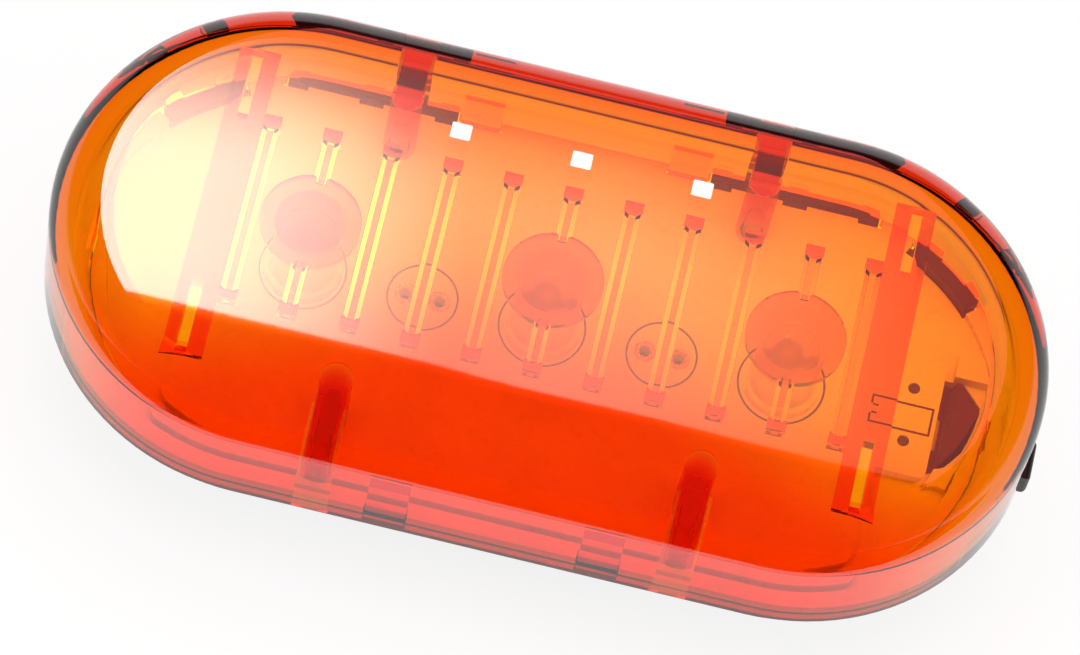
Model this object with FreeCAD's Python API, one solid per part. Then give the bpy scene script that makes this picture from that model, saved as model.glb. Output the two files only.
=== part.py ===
import FreeCAD, Part
import math
import os

# Bicycle tail light, in millimetres. The back of the bracket rail lies on Z = 0 and the lens
# faces +Z. X runs along the light towards the push button, Y across it.

# Lens, outside and walls
LENS_LENGTH = 73.7
LENS_WIDTH = 35.0
LENS_DEPTH = 11.7
LENS_EDGE_RADIUS = 3.6
SKIRT_WALL = 1.8
FACE_WALL = 2.0
LENS_INNER_RADIUS = 2.8

# Lens, inside of the face
LED_PITCH = 9.0
BULLSEYE_DIAMETER = 7.4
BULLSEYE_HEIGHT = 0.6
BULLSEYE_DISH_DIAMETER = 5.2
BULLSEYE_DISH_DEPTH = 0.35
RIB_EDGE_ROOM = 10.8
RIB_BASE = 1.2
RIB_CREST = 0.5
RIB_HEIGHT = 0.8
RIB_CAP_WIDTH = 1.4
RIB_CAP_LENGTH = 0.9
RIB_CAP_HEIGHT = 1.1
END_BAND_WIDTH = 3.0
END_BAND_HEIGHT = 0.5
END_BAND_EDGE_ROOM = 4.9
END_SLOT_STEP = 2.2
END_SLOT_GAP = 0.3
END_SLOT_WIDTH = 0.8
END_SLOT_RECESS = 0.6

# Lens, screw posts and hooks
POST_SETBACK = 5.95
POST_EDGE_ROOM = 5.8
POST_DIAMETER = 2.4
POST_WEB = 2.0
POST_SEAT_GAP = 0.03
POST_WEB_DEPTH = 5.2
HOOK_SETBACK = 11.45
HOOK_WIDTH = 3.0
HOOK_THICKNESS = 0.7
HOOK_HEIGHT = 5.0

# Circuit board
BOARD_THICKNESS = 1.2
BOARD_END_ROOM = 10.85
BOARD_EDGE_GAP = 0.25
BOARD_CORNER_RADIUS = 3.0
TAB_WIDTH = 9.6
CHAMBER_HEIGHT = 8.1
SPARE_HOLE_DIAMETER = 0.9

# Five-millimetre LEDs
LED_DIAMETER = 5.0
LED_FLANGE_DIAMETER = 5.8
LED_FLANGE_HEIGHT = 1.0
LED_FLAT = 2.5
LED_HEIGHT = 7.2
LEAD_SPACING = 2.54
LEAD_WIDTH = 0.5
LEAD_STUB = 0.9
LEAD_HOLE_DIAMETER = 0.9

# Board screws
SCREW_DIAMETER = 1.3
SCREW_LENGTH = 3.4
SCREW_HEAD_DIAMETER = 2.7
SCREW_HEAD_HEIGHT = 0.85
SCREW_SLOT = 0.35
SCREW_CLEARANCE = 0.2
THREAD_CLEARANCE = 0.02

# Small parts on the back of the board
CHIP_SIZE = 3.0
CHIP_HEIGHT = 0.95
CHIP_STANDOFF = 0.1
CHIP_LEG_THICKNESS = 0.3
CHIP_LEG_ROOT = 0.15
CHIP_LEG_PITCH = 0.65
CHIP_LEG_WIDTH = 0.3
CHIP_LEG_REACH = 0.8
CHIP_LEGS_PER_SIDE = 4
RESISTOR_LENGTH = 2.0
RESISTOR_WIDTH = 1.25
RESISTOR_HEIGHT = 0.5
CAPACITOR_HEIGHT = 0.9

# Side-acting switch under the board tab
SWITCH_END_ROOM = 7.45
SWITCH_DEPTH = 3.4
SWITCH_WIDTH = 6.0
SWITCH_HEIGHT = 3.6
SWITCH_PIN_SETBACK = 1.8
SWITCH_PIN_SPACING = 4.36
SWITCH_PIN_DIAMETER = 0.7
SWITCH_PIN_HOLE = 0.9
PLUNGER_WIDTH = 2.6
PLUNGER_HEIGHT = 1.3
PLUNGER_REACH = 0.75
PLUNGER_SOCKET_DEPTH = 1.4
PLUNGER_TRAVEL = 0.4
PLUNGER_CLEARANCE = 0.05
PLUNGER_EDGE_RADIUS = 0.25

# Push button
BUTTON_GAP = 0.25
BUTTON_TRAVEL = 0.5
BUTTON_BLOCK_WIDTH = 7.5
BUTTON_BLOCK_DEPTH = 2.5
BUTTON_BLOCK_HEIGHT = 3.9
BUTTON_SHOULDER = 0.65
BUTTON_NOSE_WIDTH = 3.6
BUTTON_STEM_WIDTH = 3.2
BUTTON_STEM_HEIGHT = 2.4
BUTTON_PROTRUSION = 0.65
BUTTON_EDGE_RADIUS = 0.4
BUTTON_CLEARANCE = 0.2

# Inner frame round the board
FRAME_THICKNESS = 0.9
FRAME_EDGE_GAP = 0.2
FRAME_CELL_GAP = 0.3
FRAME_CELL_LAP = 1.6
FRAME_LENS_GAP = 0.1
FRAME_CASE_GAP = 0.3
FRAME_LIP_WIDTH = 1.2
FRAME_LIP_HEIGHT = 0.65
GUIDE_WIDTH = 2.0
GUIDE_HEIGHT = 1.1

# Rear case
CASE_WALL = 1.2
TUB_WALL = 1.1
SKIRT_CLEARANCE = 0.2
TUB_DEPTH = 5.35
TUB_EDGE_RADIUS = 1.0
RIM_HEIGHT = 1.25
RIM_BAR_INSET = 0.9
RIM_BAR_WIDTH = 1.3
RIM_HOOK_GAP = 0.3
RIM_OVERRUN = 2.3
RIM_ARC = (42.0, 66.0)
KEY_OVERRUN = 2.55
KEY_PITCH = 5.75
KEYS_ON_SIDE = 3
KEY_ARC_ANGLES = (61.0, 46.0)
KEY_WIDTH = 1.25
KEY_HEIGHT = 1.0
KEY_DROP = 0.9
KEY_INSET = 0.3
KEY_CLEARANCE = 0.1
COIN_SLOT_WIDTH = 6.0
COIN_SLOT_HEIGHT = 1.2
BAY_END_ROOM = 12.0
BAY_SHIFT = -0.6
BAY_SIDE_GAP = 0.15
BAY_EDGE_RADIUS = 4.0
BAY_CORNER_RADIUS = 3.0
PAD_SIZE = 2.2
PAD_GAP = 0.1

# Bracket rail on the back
RAIL_LENGTH = 26.0
RAIL_HEAD_WIDTH = 16.0
RAIL_HEAD_THICKNESS = 1.2
RAIL_NECK_WIDTH = 12.0
RAIL_NECK_HEIGHT = 1.2
RAIL_STOP_LENGTH = 1.6
RAIL_NOTCH_WIDTH = 2.4
RAIL_NOTCH_DEPTH = 0.9
RAIL_NOTCH_SETBACK = 5.0
RAIL_LEAD_IN = 0.8

# AAA cells and their contacts
CELL_DIAMETER = 10.5
CELL_NUB_DIAMETER = 3.8
CELL_NUB_HEIGHT = 0.9
CELL_RIM_CHAMFER = 0.4
CELL_GAP = 0.2
CELL_FLOOR_GAP = 0.1
CELL_BOARD_GAP = 0.15
CONTACT_THICKNESS = 0.4
CONTACT_WIDTH = 7.4
CONTACT_FLOOR_GAP = 0.6
CONTACT_BOARD_ROOM = 1.35
CONTACT_EAR_WIDTH = 2.4
CONTACT_LEAF_LENGTH = 1.4
CONTACT_LEAF_GAP = 0.1
SPRING_WIRE = 0.5
SPRING_LENGTH = 4.4
SPRING_BASE_DIAMETER = 6.6
SPRING_TIP_DIAMETER = 4.6
SPRING_TURNS = 3
SPRING_END_GAP = 0.06

# Heights that follow from the stack: rail, bay, cells, board, lens
Z_BAY_BACK = RAIL_HEAD_THICKNESS + RAIL_NECK_HEIGHT
Z_BAY_FLOOR = Z_BAY_BACK + CASE_WALL
Z_CELL = Z_BAY_FLOOR + CELL_FLOOR_GAP + CELL_DIAMETER / 2
Z_BOARD_BACK = Z_CELL + CELL_DIAMETER / 2 + CELL_BOARD_GAP
Z_BOARD_TOP = Z_BOARD_BACK + BOARD_THICKNESS
Z_FACE_INSIDE = Z_BOARD_TOP + CHAMBER_HEIGHT
Z_FACE = Z_FACE_INSIDE + FACE_WALL
Z_FOOT = Z_FACE - LENS_DEPTH
Z_TUB_BACK = Z_FOOT - TUB_DEPTH
Z_TUB_FLOOR = Z_TUB_BACK + CASE_WALL
Z_RIM = Z_FOOT + RIM_HEIGHT
Z_FRAME_BACK = Z_BOARD_BACK - FRAME_THICKNESS
Z_CONTACT_TOP = Z_BOARD_BACK - CONTACT_BOARD_ROOM

# Insets from the lens outline
INSET_SKIRT = SKIRT_WALL
INSET_TUB = INSET_SKIRT + SKIRT_CLEARANCE
INSET_TUB_INSIDE = INSET_TUB + TUB_WALL
INSET_FRAME = INSET_TUB_INSIDE + FRAME_EDGE_GAP
INSET_BOARD = INSET_TUB_INSIDE + BOARD_EDGE_GAP

# Places along and across the lens, which all follow its length and width
END_CENTRE = (LENS_LENGTH - LENS_WIDTH) / 2
POST_X = END_CENTRE - POST_SETBACK
POST_Y = LENS_WIDTH / 2 - POST_EDGE_ROOM
HOOK_X = END_CENTRE - HOOK_SETBACK
HOOK_OUTER_X = HOOK_X + HOOK_WIDTH / 2
HOOK_INNER_X = HOOK_X - HOOK_WIDTH / 2
RIM_START = HOOK_OUTER_X + RIM_HOOK_GAP
RIM_END = END_CENTRE + RIM_OVERRUN
KEY_LAST_X = END_CENTRE + KEY_OVERRUN
BOARD_HALF_LENGTH = LENS_LENGTH / 2 - BOARD_END_ROOM
RIB_HALF_LENGTH = LENS_WIDTH / 2 - RIB_EDGE_ROOM
OUTER_RIB_X = 2.5 * LED_PITCH
END_SLOT_X = OUTER_RIB_X + END_SLOT_STEP
END_BAND_HALF_LENGTH = LENS_WIDTH / 2 - END_BAND_EDGE_ROOM
END_SLOT_START = RIB_HALF_LENGTH + END_SLOT_GAP
END_SLOT_END = END_BAND_HALF_LENGTH - END_SLOT_GAP

# Battery bay, and AAA cells that fill it between their contacts
CELL_Y = CELL_DIAMETER / 2 + CELL_GAP / 2
BAY_HALF_WIDTH = CELL_Y + CELL_DIAMETER / 2 + BAY_SIDE_GAP
BAY_LENGTH = LENS_LENGTH - 2 * BAY_END_ROOM
CELL_LENGTH = BAY_LENGTH - SPRING_LENGTH - 2 * CONTACT_THICKNESS
BAY_LEFT = BAY_SHIFT - BAY_LENGTH / 2
BAY_RIGHT = BAY_SHIFT + BAY_LENGTH / 2

# Switch and button line
SWITCH_FRONT = LENS_LENGTH / 2 - SWITCH_END_ROOM
SWITCH_PIN_X = SWITCH_FRONT - SWITCH_PIN_SETBACK
Z_PLUNGER = Z_BOARD_BACK - SWITCH_HEIGHT / 2
BUTTON_BACK = SWITCH_FRONT + PLUNGER_REACH + BUTTON_GAP
TAB_END = BUTTON_BACK - BUTTON_TRAVEL - BUTTON_CLEARANCE
Z_BUTTON_TOP = Z_PLUNGER + BUTTON_BLOCK_HEIGHT - BUTTON_STEM_HEIGHT / 2

# Small parts behind the board, spaced by the LED places
CHIP_X = -LED_PITCH / 2
CAPACITOR_X = CHIP_X - LED_PITCH
RESISTOR_PLACES = [LED_PITCH * (step + 0.5) for step in range(3)]


def box(x0, x1, y0, y1, z0, z1):
    """Solid box between two corners."""
    corner = FreeCAD.Vector(min(x0, x1), min(y0, y1), min(z0, z1))
    return Part.makeBox(abs(x1 - x0), abs(y1 - y0), abs(z1 - z0), corner)


def rod(x, y, z0, z1, diameter):
    """Upright cylinder."""
    return Part.makeCylinder(diameter / 2, z1 - z0, FreeCAD.Vector(x, y, z0))


def joined(shapes):
    """One solid from shapes that touch or overlap."""
    whole = shapes[0].fuse(shapes[1:]) if len(shapes) > 1 else shapes[0]
    return whole.removeSplitter()


def racetrack_wire(inset, z):
    """Outline of the lens drawn in by an inset: two straight sides and two half circles."""
    radius = LENS_WIDTH / 2 - inset
    signs = ((-1, -1), (1, -1), (1, 1), (-1, 1))
    corner = [FreeCAD.Vector(sx * END_CENTRE, sy * radius, z) for sx, sy in signs]
    right = FreeCAD.Vector(END_CENTRE + radius, 0, z)
    left = FreeCAD.Vector(-END_CENTRE - radius, 0, z)
    return Part.Wire([
        Part.LineSegment(corner[0], corner[1]).toShape(),
        Part.Arc(corner[1], right, corner[2]).toShape(),
        Part.LineSegment(corner[2], corner[3]).toShape(),
        Part.Arc(corner[3], left, corner[0]).toShape(),
    ])


def racetrack(inset, z0, z1):
    """Upright racetrack solid."""
    return Part.Face(racetrack_wire(inset, z0)).extrude(FreeCAD.Vector(0, 0, z1 - z0))


def edges_at(shape, z):
    """Edges that lie wholly at one height."""
    flat = 1e-4
    return [e for e in shape.Edges if abs(e.BoundBox.ZMin - z) < flat and abs(e.BoundBox.ZMax - z) < flat]


def upright_edges(shape):
    """Straight edges along Z."""
    found = []
    for edge in shape.Edges:
        if len(edge.Vertexes) == 2:
            run = edge.Vertexes[1].Point - edge.Vertexes[0].Point
            if abs(run.z) > 0.999 * run.Length and run.Length > 0:
                found.append(edge)
    return found


def rounded_block(x0, x1, half_width, z0, z1, corner_radius):
    """Box about Y = 0 with rounded upright corners."""
    block = box(x0, x1, -half_width, half_width, z0, z1)
    return block.makeFillet(corner_radius, upright_edges(block))


def lens_outside():
    """Solid with the outer form: flat face, rounded edge, straight skirt."""
    outside = racetrack(0, Z_FOOT, Z_FACE)
    return outside.makeFillet(LENS_EDGE_RADIUS, edges_at(outside, Z_FACE))


def lens_hollow():
    """Room inside the lens, open at the back."""
    inside = racetrack(INSET_SKIRT, Z_FOOT - 1, Z_FACE_INSIDE)
    return inside.makeFillet(LENS_INNER_RADIUS, edges_at(inside, Z_FACE_INSIDE))


def bullseye(x):
    """Round boss over an LED, dished like a small lens."""
    z_low = Z_FACE_INSIDE - BULLSEYE_HEIGHT
    boss = rod(x, 0, z_low, Z_FACE_INSIDE + FACE_WALL / 2, BULLSEYE_DIAMETER)
    half_chord = BULLSEYE_DISH_DIAMETER / 2
    radius = (half_chord ** 2 + BULLSEYE_DISH_DEPTH ** 2) / (2 * BULLSEYE_DISH_DEPTH)
    ball_z = z_low + BULLSEYE_DISH_DEPTH - radius
    return boss.cut(Part.makeSphere(radius, FreeCAD.Vector(x, 0, ball_z)))


def rib(x, y0, y1):
    """Prism on the inside of the face, wide at its root and narrow at its crest."""
    root = Z_FACE_INSIDE + FACE_WALL / 2
    crest = Z_FACE_INSIDE - RIB_HEIGHT
    outline = [
        (x - RIB_BASE / 2, root),
        (x - RIB_BASE / 2, Z_FACE_INSIDE),
        (x - RIB_CREST / 2, crest),
        (x + RIB_CREST / 2, crest),
        (x + RIB_BASE / 2, Z_FACE_INSIDE),
        (x + RIB_BASE / 2, root),
    ]
    points = [FreeCAD.Vector(px, y0, pz) for px, pz in outline]
    face = Part.Face(Part.makePolygon(points + points[:1]))
    return face.extrude(FreeCAD.Vector(0, y1 - y0, 0))


def rib_cap(x, y):
    """Square block that closes one end of a rib."""
    half = RIB_CAP_WIDTH / 2
    top = Z_FACE_INSIDE + FACE_WALL / 2
    side = math.copysign(1, y)
    return box(x - half, x + half, y, y + side * RIB_CAP_LENGTH, Z_FACE_INSIDE - RIB_CAP_HEIGHT, top)


def face_ribs():
    """All ribs: full ones between the LEDs, and parted ones behind the bullseyes."""
    pieces = []
    half_pitches = [step * LED_PITCH / 2 for step in range(-3, 4)]
    full = [x for x in half_pitches if x != 0] + [-OUTER_RIB_X, OUTER_RIB_X]
    parted = [-2 * LED_PITCH, 0, 2 * LED_PITCH]
    for x in full:
        pieces.append(rib(x, -RIB_HALF_LENGTH, RIB_HALF_LENGTH))
    for x in parted:
        start = BULLSEYE_DIAMETER / 2 - RIB_CAP_LENGTH / 2
        pieces.append(rib(x, start, RIB_HALF_LENGTH))
        pieces.append(rib(x, -RIB_HALF_LENGTH, -start))
    for x in full + parted:
        pieces.append(rib_cap(x, RIB_HALF_LENGTH))
        pieces.append(rib_cap(x, -RIB_HALF_LENGTH))
    return pieces


def end_bands():
    """Thicker bands across the face, just outside the outermost ribs."""
    start = OUTER_RIB_X + RIB_BASE / 2
    reach = END_BAND_HALF_LENGTH
    low = Z_FACE_INSIDE - END_BAND_HEIGHT
    top = Z_FACE_INSIDE + FACE_WALL / 2
    return [box(s * start, s * (start + END_BAND_WIDTH), -reach, reach, low, top) for s in (-1, 1)]


def end_slots():
    """Slots through the end bands and into the face, which let more light out."""
    half = END_SLOT_WIDTH / 2
    low = Z_FACE_INSIDE - END_BAND_HEIGHT - 1
    high = Z_FACE_INSIDE + END_SLOT_RECESS
    return [box(sx * END_SLOT_X - half, sx * END_SLOT_X + half,
                sy * END_SLOT_START, sy * END_SLOT_END, low, high)
            for sx in (-1, 1) for sy in (-1, 1)]


def post_places():
    """The four corners where the board is screwed to the lens."""
    return [(sx * POST_X, sy * POST_Y) for sx in (-1, 1) for sy in (-1, 1)]


def lens_post(x, y):
    """Screw post with the web that ties it to the skirt."""
    root = Z_FACE_INSIDE + FACE_WALL / 2
    post = rod(x, y, Z_BOARD_TOP + POST_SEAT_GAP, root, POST_DIAMETER)
    skirt = math.copysign(LENS_WIDTH / 2 - INSET_SKIRT / 2, y)
    web = box(x - POST_WEB / 2, x + POST_WEB / 2, y, skirt, Z_FACE_INSIDE - POST_WEB_DEPTH, root)
    return post.fuse(web)


def lens_hook(x, side):
    """Flat boss on the inside of the skirt that drops into a gap of the case rim."""
    skirt = LENS_WIDTH / 2 - INSET_SKIRT
    half = HOOK_WIDTH / 2
    return box(x - half, x + half, side * (skirt - HOOK_THICKNESS), side * (skirt + SKIRT_WALL / 2),
               Z_FOOT, Z_FOOT + HOOK_HEIGHT)


def key_block(width, height, drop, outer_inset, inner_inset):
    """One key beside the origin, reaching along +Y, before it is put in its place."""
    outer = LENS_WIDTH / 2 - outer_inset
    inner = LENS_WIDTH / 2 - inner_inset
    return box(-width / 2, width / 2, inner, outer, Z_FOOT - drop, Z_FOOT + height)


def key_places():
    """Turn about Z and shift along X that put each key in its place on the +Y side."""
    places = []
    for side in (-1, 1):
        for step in range(KEYS_ON_SIDE):
            places.append((0.0, side * (KEY_LAST_X - step * KEY_PITCH)))
        for angle in KEY_ARC_ANGLES:
            places.append((side * (angle - 90.0), side * END_CENTRE))
    return places


def keys(clearance, outer_inset, inner_inset, drop):
    """All keys along the +Y side, grown by a clearance when they cut the lens."""
    block = key_block(KEY_WIDTH + 2 * clearance, KEY_HEIGHT + clearance, drop, outer_inset, inner_inset)
    pieces = []
    for turn, shift in key_places():
        piece = block.copy()
        piece.rotate(FreeCAD.Vector(0, 0, 0), FreeCAD.Vector(0, 0, 1), turn)
        piece.translate(FreeCAD.Vector(shift, 0, 0))
        pieces.append(piece)
    return pieces


def lens_cover():
    """Translucent cover with everything moulded inside it."""
    outside = lens_outside()
    pieces = [bullseye(step * 2 * LED_PITCH) for step in (-1, 0, 1)]
    pieces += face_ribs() + end_bands()
    pieces += [lens_post(x, y) for x, y in post_places()]
    pieces += [lens_hook(sx * HOOK_X, sy) for sx in (-1, 1) for sy in (-1, 1)]
    details = joined(pieces).common(outside)
    cover = joined([outside.cut(lens_hollow()), details])
    bore = SCREW_DIAMETER + 2 * THREAD_CLEARANCE
    depth = SCREW_LENGTH - BOARD_THICKNESS + SCREW_CLEARANCE
    cuts = [rod(x, y, Z_BOARD_TOP - 1, Z_BOARD_TOP + depth, bore) for x, y in post_places()]
    cuts += keys(KEY_CLEARANCE, -1, INSET_TUB + TUB_WALL / 2, 1) + rim_bars(KEY_CLEARANCE) + end_slots()
    slot_x = -LENS_LENGTH / 2
    cuts.append(box(slot_x - 1, slot_x + INSET_TUB, -COIN_SLOT_WIDTH / 2, COIN_SLOT_WIDTH / 2,
                    Z_FOOT - 1, Z_FOOT + COIN_SLOT_HEIGHT))
    return cover.cut(cuts).removeSplitter()


def tub_solid():
    """Shallow racetrack tub that carries the lens."""
    outside = racetrack(INSET_TUB, Z_TUB_BACK, Z_RIM)
    return outside.makeFillet(TUB_EDGE_RADIUS, edges_at(outside, Z_TUB_BACK))


def rim_wedge(side, first, last):
    """Sector about one end centre, between two angles that open away from the middle of the light."""
    height = Z_RIM + 1 - Z_FOOT
    foot, up = FreeCAD.Vector(0, 0, Z_FOOT), FreeCAD.Vector(0, 0, 1)
    wedge = Part.makeCylinder(LENS_WIDTH / 2, height, foot, up, last - first)
    turn = first if side > 0 else 180 - last
    wedge.rotate(foot, up, turn)
    wedge.translate(FreeCAD.Vector(side * END_CENTRE, 0, 0))
    return wedge


def rim_sectors(clearance):
    """Where the rim stands on the round ends of the tub, grown by a clearance when it cuts the frame."""
    turn = math.degrees(clearance / (LENS_WIDTH / 2 - INSET_TUB_INSIDE))
    return [rim_wedge(side, RIM_ARC[0] - turn, RIM_ARC[1] + turn) for side in (-1, 1)]


def rim_bars(clearance):
    """Straight parts of the rim, which stand in slots of the skirt, grown by a clearance for the slots."""
    outer = LENS_WIDTH / 2 - RIM_BAR_INSET + clearance
    inner = outer - RIM_BAR_WIDTH - 2 * clearance
    start, end = RIM_START - clearance, RIM_END + clearance
    low, high = Z_FOOT - KEY_DROP, Z_RIM + clearance
    return [box(side * start, side * end, inner, outer, low, high) for side in (-1, 1)]


def rim_gaps():
    """Everything above the foot of the lens that isn't one of the rim's segments."""
    return racetrack(INSET_TUB - 1, Z_FOOT, Z_RIM + 1).cut(rim_sectors(0))


def bay_solid():
    """Rounded hump behind the tub that holds the two cells."""
    half_width = BAY_HALF_WIDTH + CASE_WALL
    hump = rounded_block(BAY_LEFT - CASE_WALL, BAY_RIGHT + CASE_WALL, half_width,
                         Z_BAY_BACK, Z_TUB_FLOOR, BAY_CORNER_RADIUS + CASE_WALL)
    return hump.makeFillet(BAY_EDGE_RADIUS, edges_at(hump, Z_BAY_BACK))


def cradle(radius):
    """Two lying cylinders, one round each cell, as long as the bay."""
    along = FreeCAD.Vector(1, 0, 0)
    starts = [FreeCAD.Vector(BAY_LEFT, side * CELL_Y, Z_CELL) for side in (-1, 1)]
    return [Part.makeCylinder(radius, BAY_LENGTH, start, along) for start in starts]


def bay_hollow():
    """Room for the cells: the cradle under a straight-sided bay."""
    straight = rounded_block(BAY_LEFT, BAY_RIGHT, BAY_HALF_WIDTH, Z_CELL, Z_TUB_FLOOR + 1, BAY_SIDE_GAP)
    return joined([straight] + cradle(CELL_DIAMETER / 2 + CELL_FLOOR_GAP))


def bracket_rail():
    """T-shaped rail: neck, head with lead-in ends, stop and latch notch."""
    half_length = RAIL_LENGTH / 2
    half_width = RAIL_HEAD_WIDTH / 2
    head = rounded_block(-half_length, half_length, half_width, 0, RAIL_HEAD_THICKNESS, RAIL_LEAD_IN)
    half_neck = RAIL_NECK_WIDTH / 2
    root = Z_BAY_BACK + CASE_WALL / 2
    neck = box(-half_length, half_length, -half_neck, half_neck, 0, root)
    stop = box(half_length - RAIL_STOP_LENGTH, half_length, -half_width, half_width, 0, root)
    rail = joined([head, neck, stop])
    notch_x = RAIL_NOTCH_SETBACK - half_length
    half_notch = RAIL_NOTCH_WIDTH / 2
    deep = half_width - RAIL_NOTCH_DEPTH
    notches = [box(notch_x - half_notch, notch_x + half_notch, s * deep, s * RAIL_HEAD_WIDTH,
                   -1, RAIL_HEAD_THICKNESS) for s in (-1, 1)]
    return rail.cut(notches)


def frame_pads():
    """Low pillars on the tub floor that stop the frame from sagging."""
    half = PAD_SIZE / 2
    top = Z_FRAME_BACK - PAD_GAP
    y = (BAY_HALF_WIDTH + LENS_WIDTH / 2 - INSET_TUB_INSIDE) / 2
    return [box(sx * END_CENTRE - half, sx * END_CENTRE + half, sy * y - half / 2, sy * y + half / 2,
                Z_TUB_FLOOR - CASE_WALL / 2, top) for sx in (-1, 1) for sy in (-1, 1)]


def block_outline(clearance):
    """Plan of the button's inner block, grown by a clearance when it cuts the frame."""
    half = BUTTON_BLOCK_WIDTH / 2 + clearance
    nose = BUTTON_NOSE_WIDTH / 2 + clearance
    shoulder = BUTTON_BACK + BUTTON_SHOULDER + clearance
    front = BUTTON_BACK + BUTTON_BLOCK_DEPTH + clearance
    side = [(BUTTON_BACK - clearance, half), (shoulder, half), (front, nose)]
    return side + [(x, -y) for x, y in reversed(side)]


def block_prism(clearance, z0, z1):
    """The block's plan drawn up between two heights."""
    corner = [FreeCAD.Vector(x, y, z0) for x, y in block_outline(clearance)]
    return Part.Face(Part.makePolygon(corner + corner[:1])).extrude(FreeCAD.Vector(0, 0, z1 - z0))


def stem_slot(top):
    """Room round the button's stem, from the block outwards and up to a height."""
    half = BUTTON_STEM_WIDTH / 2 + BUTTON_CLEARANCE
    low = Z_PLUNGER - BUTTON_STEM_HEIGHT / 2 - BUTTON_CLEARANCE
    return box(BUTTON_BACK + BUTTON_BLOCK_DEPTH, LENS_LENGTH, -half, half, low, top)


def rear_case():
    """Black case: tub with its rim and keys, battery bay and bracket rail."""
    inside = racetrack(INSET_TUB_INSIDE, Z_TUB_FLOOR, Z_RIM + 1)
    tub = tub_solid().fuse(bay_solid()).cut(inside)
    tub = tub.cut([rim_gaps(), bay_hollow()])
    parts = [tub, bracket_rail()] + rim_bars(0) + frame_pads()
    parts += keys(0, KEY_INSET, INSET_TUB + TUB_WALL / 2, KEY_DROP)
    case = joined(parts)
    return case.cut(stem_slot(Z_RIM + 1)).removeSplitter()


def frame_lip():
    """Raised edge of the frame, over the wall of the tub and parted round the rim, the keys and the hooks."""
    inset = INSET_SKIRT + FRAME_LENS_GAP
    top = Z_BOARD_BACK + FRAME_LIP_HEIGHT
    lip = racetrack(inset, Z_FOOT + PAD_GAP, top)
    lip = lip.cut(racetrack(inset + FRAME_LIP_WIDTH, Z_BOARD_BACK, top + 1))
    hook_start, hook_end = HOOK_INNER_X - FRAME_LENS_GAP, HOOK_OUTER_X + FRAME_LENS_GAP
    hook_y = LENS_WIDTH / 2 - inset - HOOK_THICKNESS
    cuts = [box(sx * hook_start, sx * hook_end, sy * hook_y, sy * LENS_WIDTH, Z_FOOT, top)
            for sx in (-1, 1) for sy in (-1, 1)]
    ring = racetrack(INSET_SKIRT, Z_FOOT, top).cut(racetrack(INSET_FRAME, Z_FOOT, top))
    cuts += [ring.common(sector) for sector in rim_sectors(FRAME_CASE_GAP)]
    cuts += keys(FRAME_CASE_GAP, -1, INSET_TUB + TUB_WALL / 2 + FRAME_CASE_GAP, 1)
    cuts += rim_bars(FRAME_CASE_GAP)
    return lip.cut(cuts)


def inner_frame():
    """White frame that fills the light's ends round the board and guides the button."""
    plate = racetrack(INSET_FRAME, Z_FRAME_BACK, Z_BOARD_BACK)
    guide_start = BUTTON_BACK
    guide_end = BUTTON_BACK + BUTTON_BLOCK_DEPTH
    guide_in = BUTTON_BLOCK_WIDTH / 2 + BUTTON_CLEARANCE
    guides = [box(guide_start, guide_end, s * guide_in, s * (guide_in + GUIDE_WIDTH),
                  Z_FRAME_BACK, Z_BOARD_BACK + GUIDE_HEIGHT) for s in (-1, 1)]
    inside_wall = racetrack(INSET_FRAME, Z_FRAME_BACK, Z_BOARD_BACK + GUIDE_HEIGHT)
    guides = [guide.common(inside_wall) for guide in guides]
    whole = joined([plate, frame_lip()] + guides)
    over_cells = BAY_HALF_WIDTH - FRAME_CELL_LAP
    cuts = [box(BAY_LEFT - FRAME_CELL_GAP, BAY_RIGHT + FRAME_CELL_GAP, -over_cells, over_cells, 0, Z_FACE)]
    cuts.append(box(BAY_RIGHT, BUTTON_BACK, -guide_in, guide_in, 0, Z_FACE))
    cuts.append(block_prism(BUTTON_CLEARANCE, 0, Z_FACE))
    cuts.append(stem_slot(Z_PLUNGER + BUTTON_STEM_HEIGHT / 2 + BUTTON_CLEARANCE))
    head_room = SCREW_HEAD_DIAMETER + 2 * SCREW_CLEARANCE
    for x, y in post_places():
        cuts.append(rod(x, y, 0, Z_FACE, head_room))
    leaf_half = CONTACT_EAR_WIDTH / 2 + FRAME_CELL_GAP
    leaf_end = BAY_RIGHT + CONTACT_LEAF_LENGTH + FRAME_CELL_GAP
    cuts += [box(BAY_RIGHT, leaf_end, s * CELL_Y - leaf_half, s * CELL_Y + leaf_half, 0, Z_FACE)
             for s in (-1, 1)]
    return whole.cut(cuts).removeSplitter()


def led_places():
    """LEDs sit on every second place of the row."""
    return {"led_left": -2 * LED_PITCH, "led_centre": 0.0, "led_right": 2 * LED_PITCH}


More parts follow.
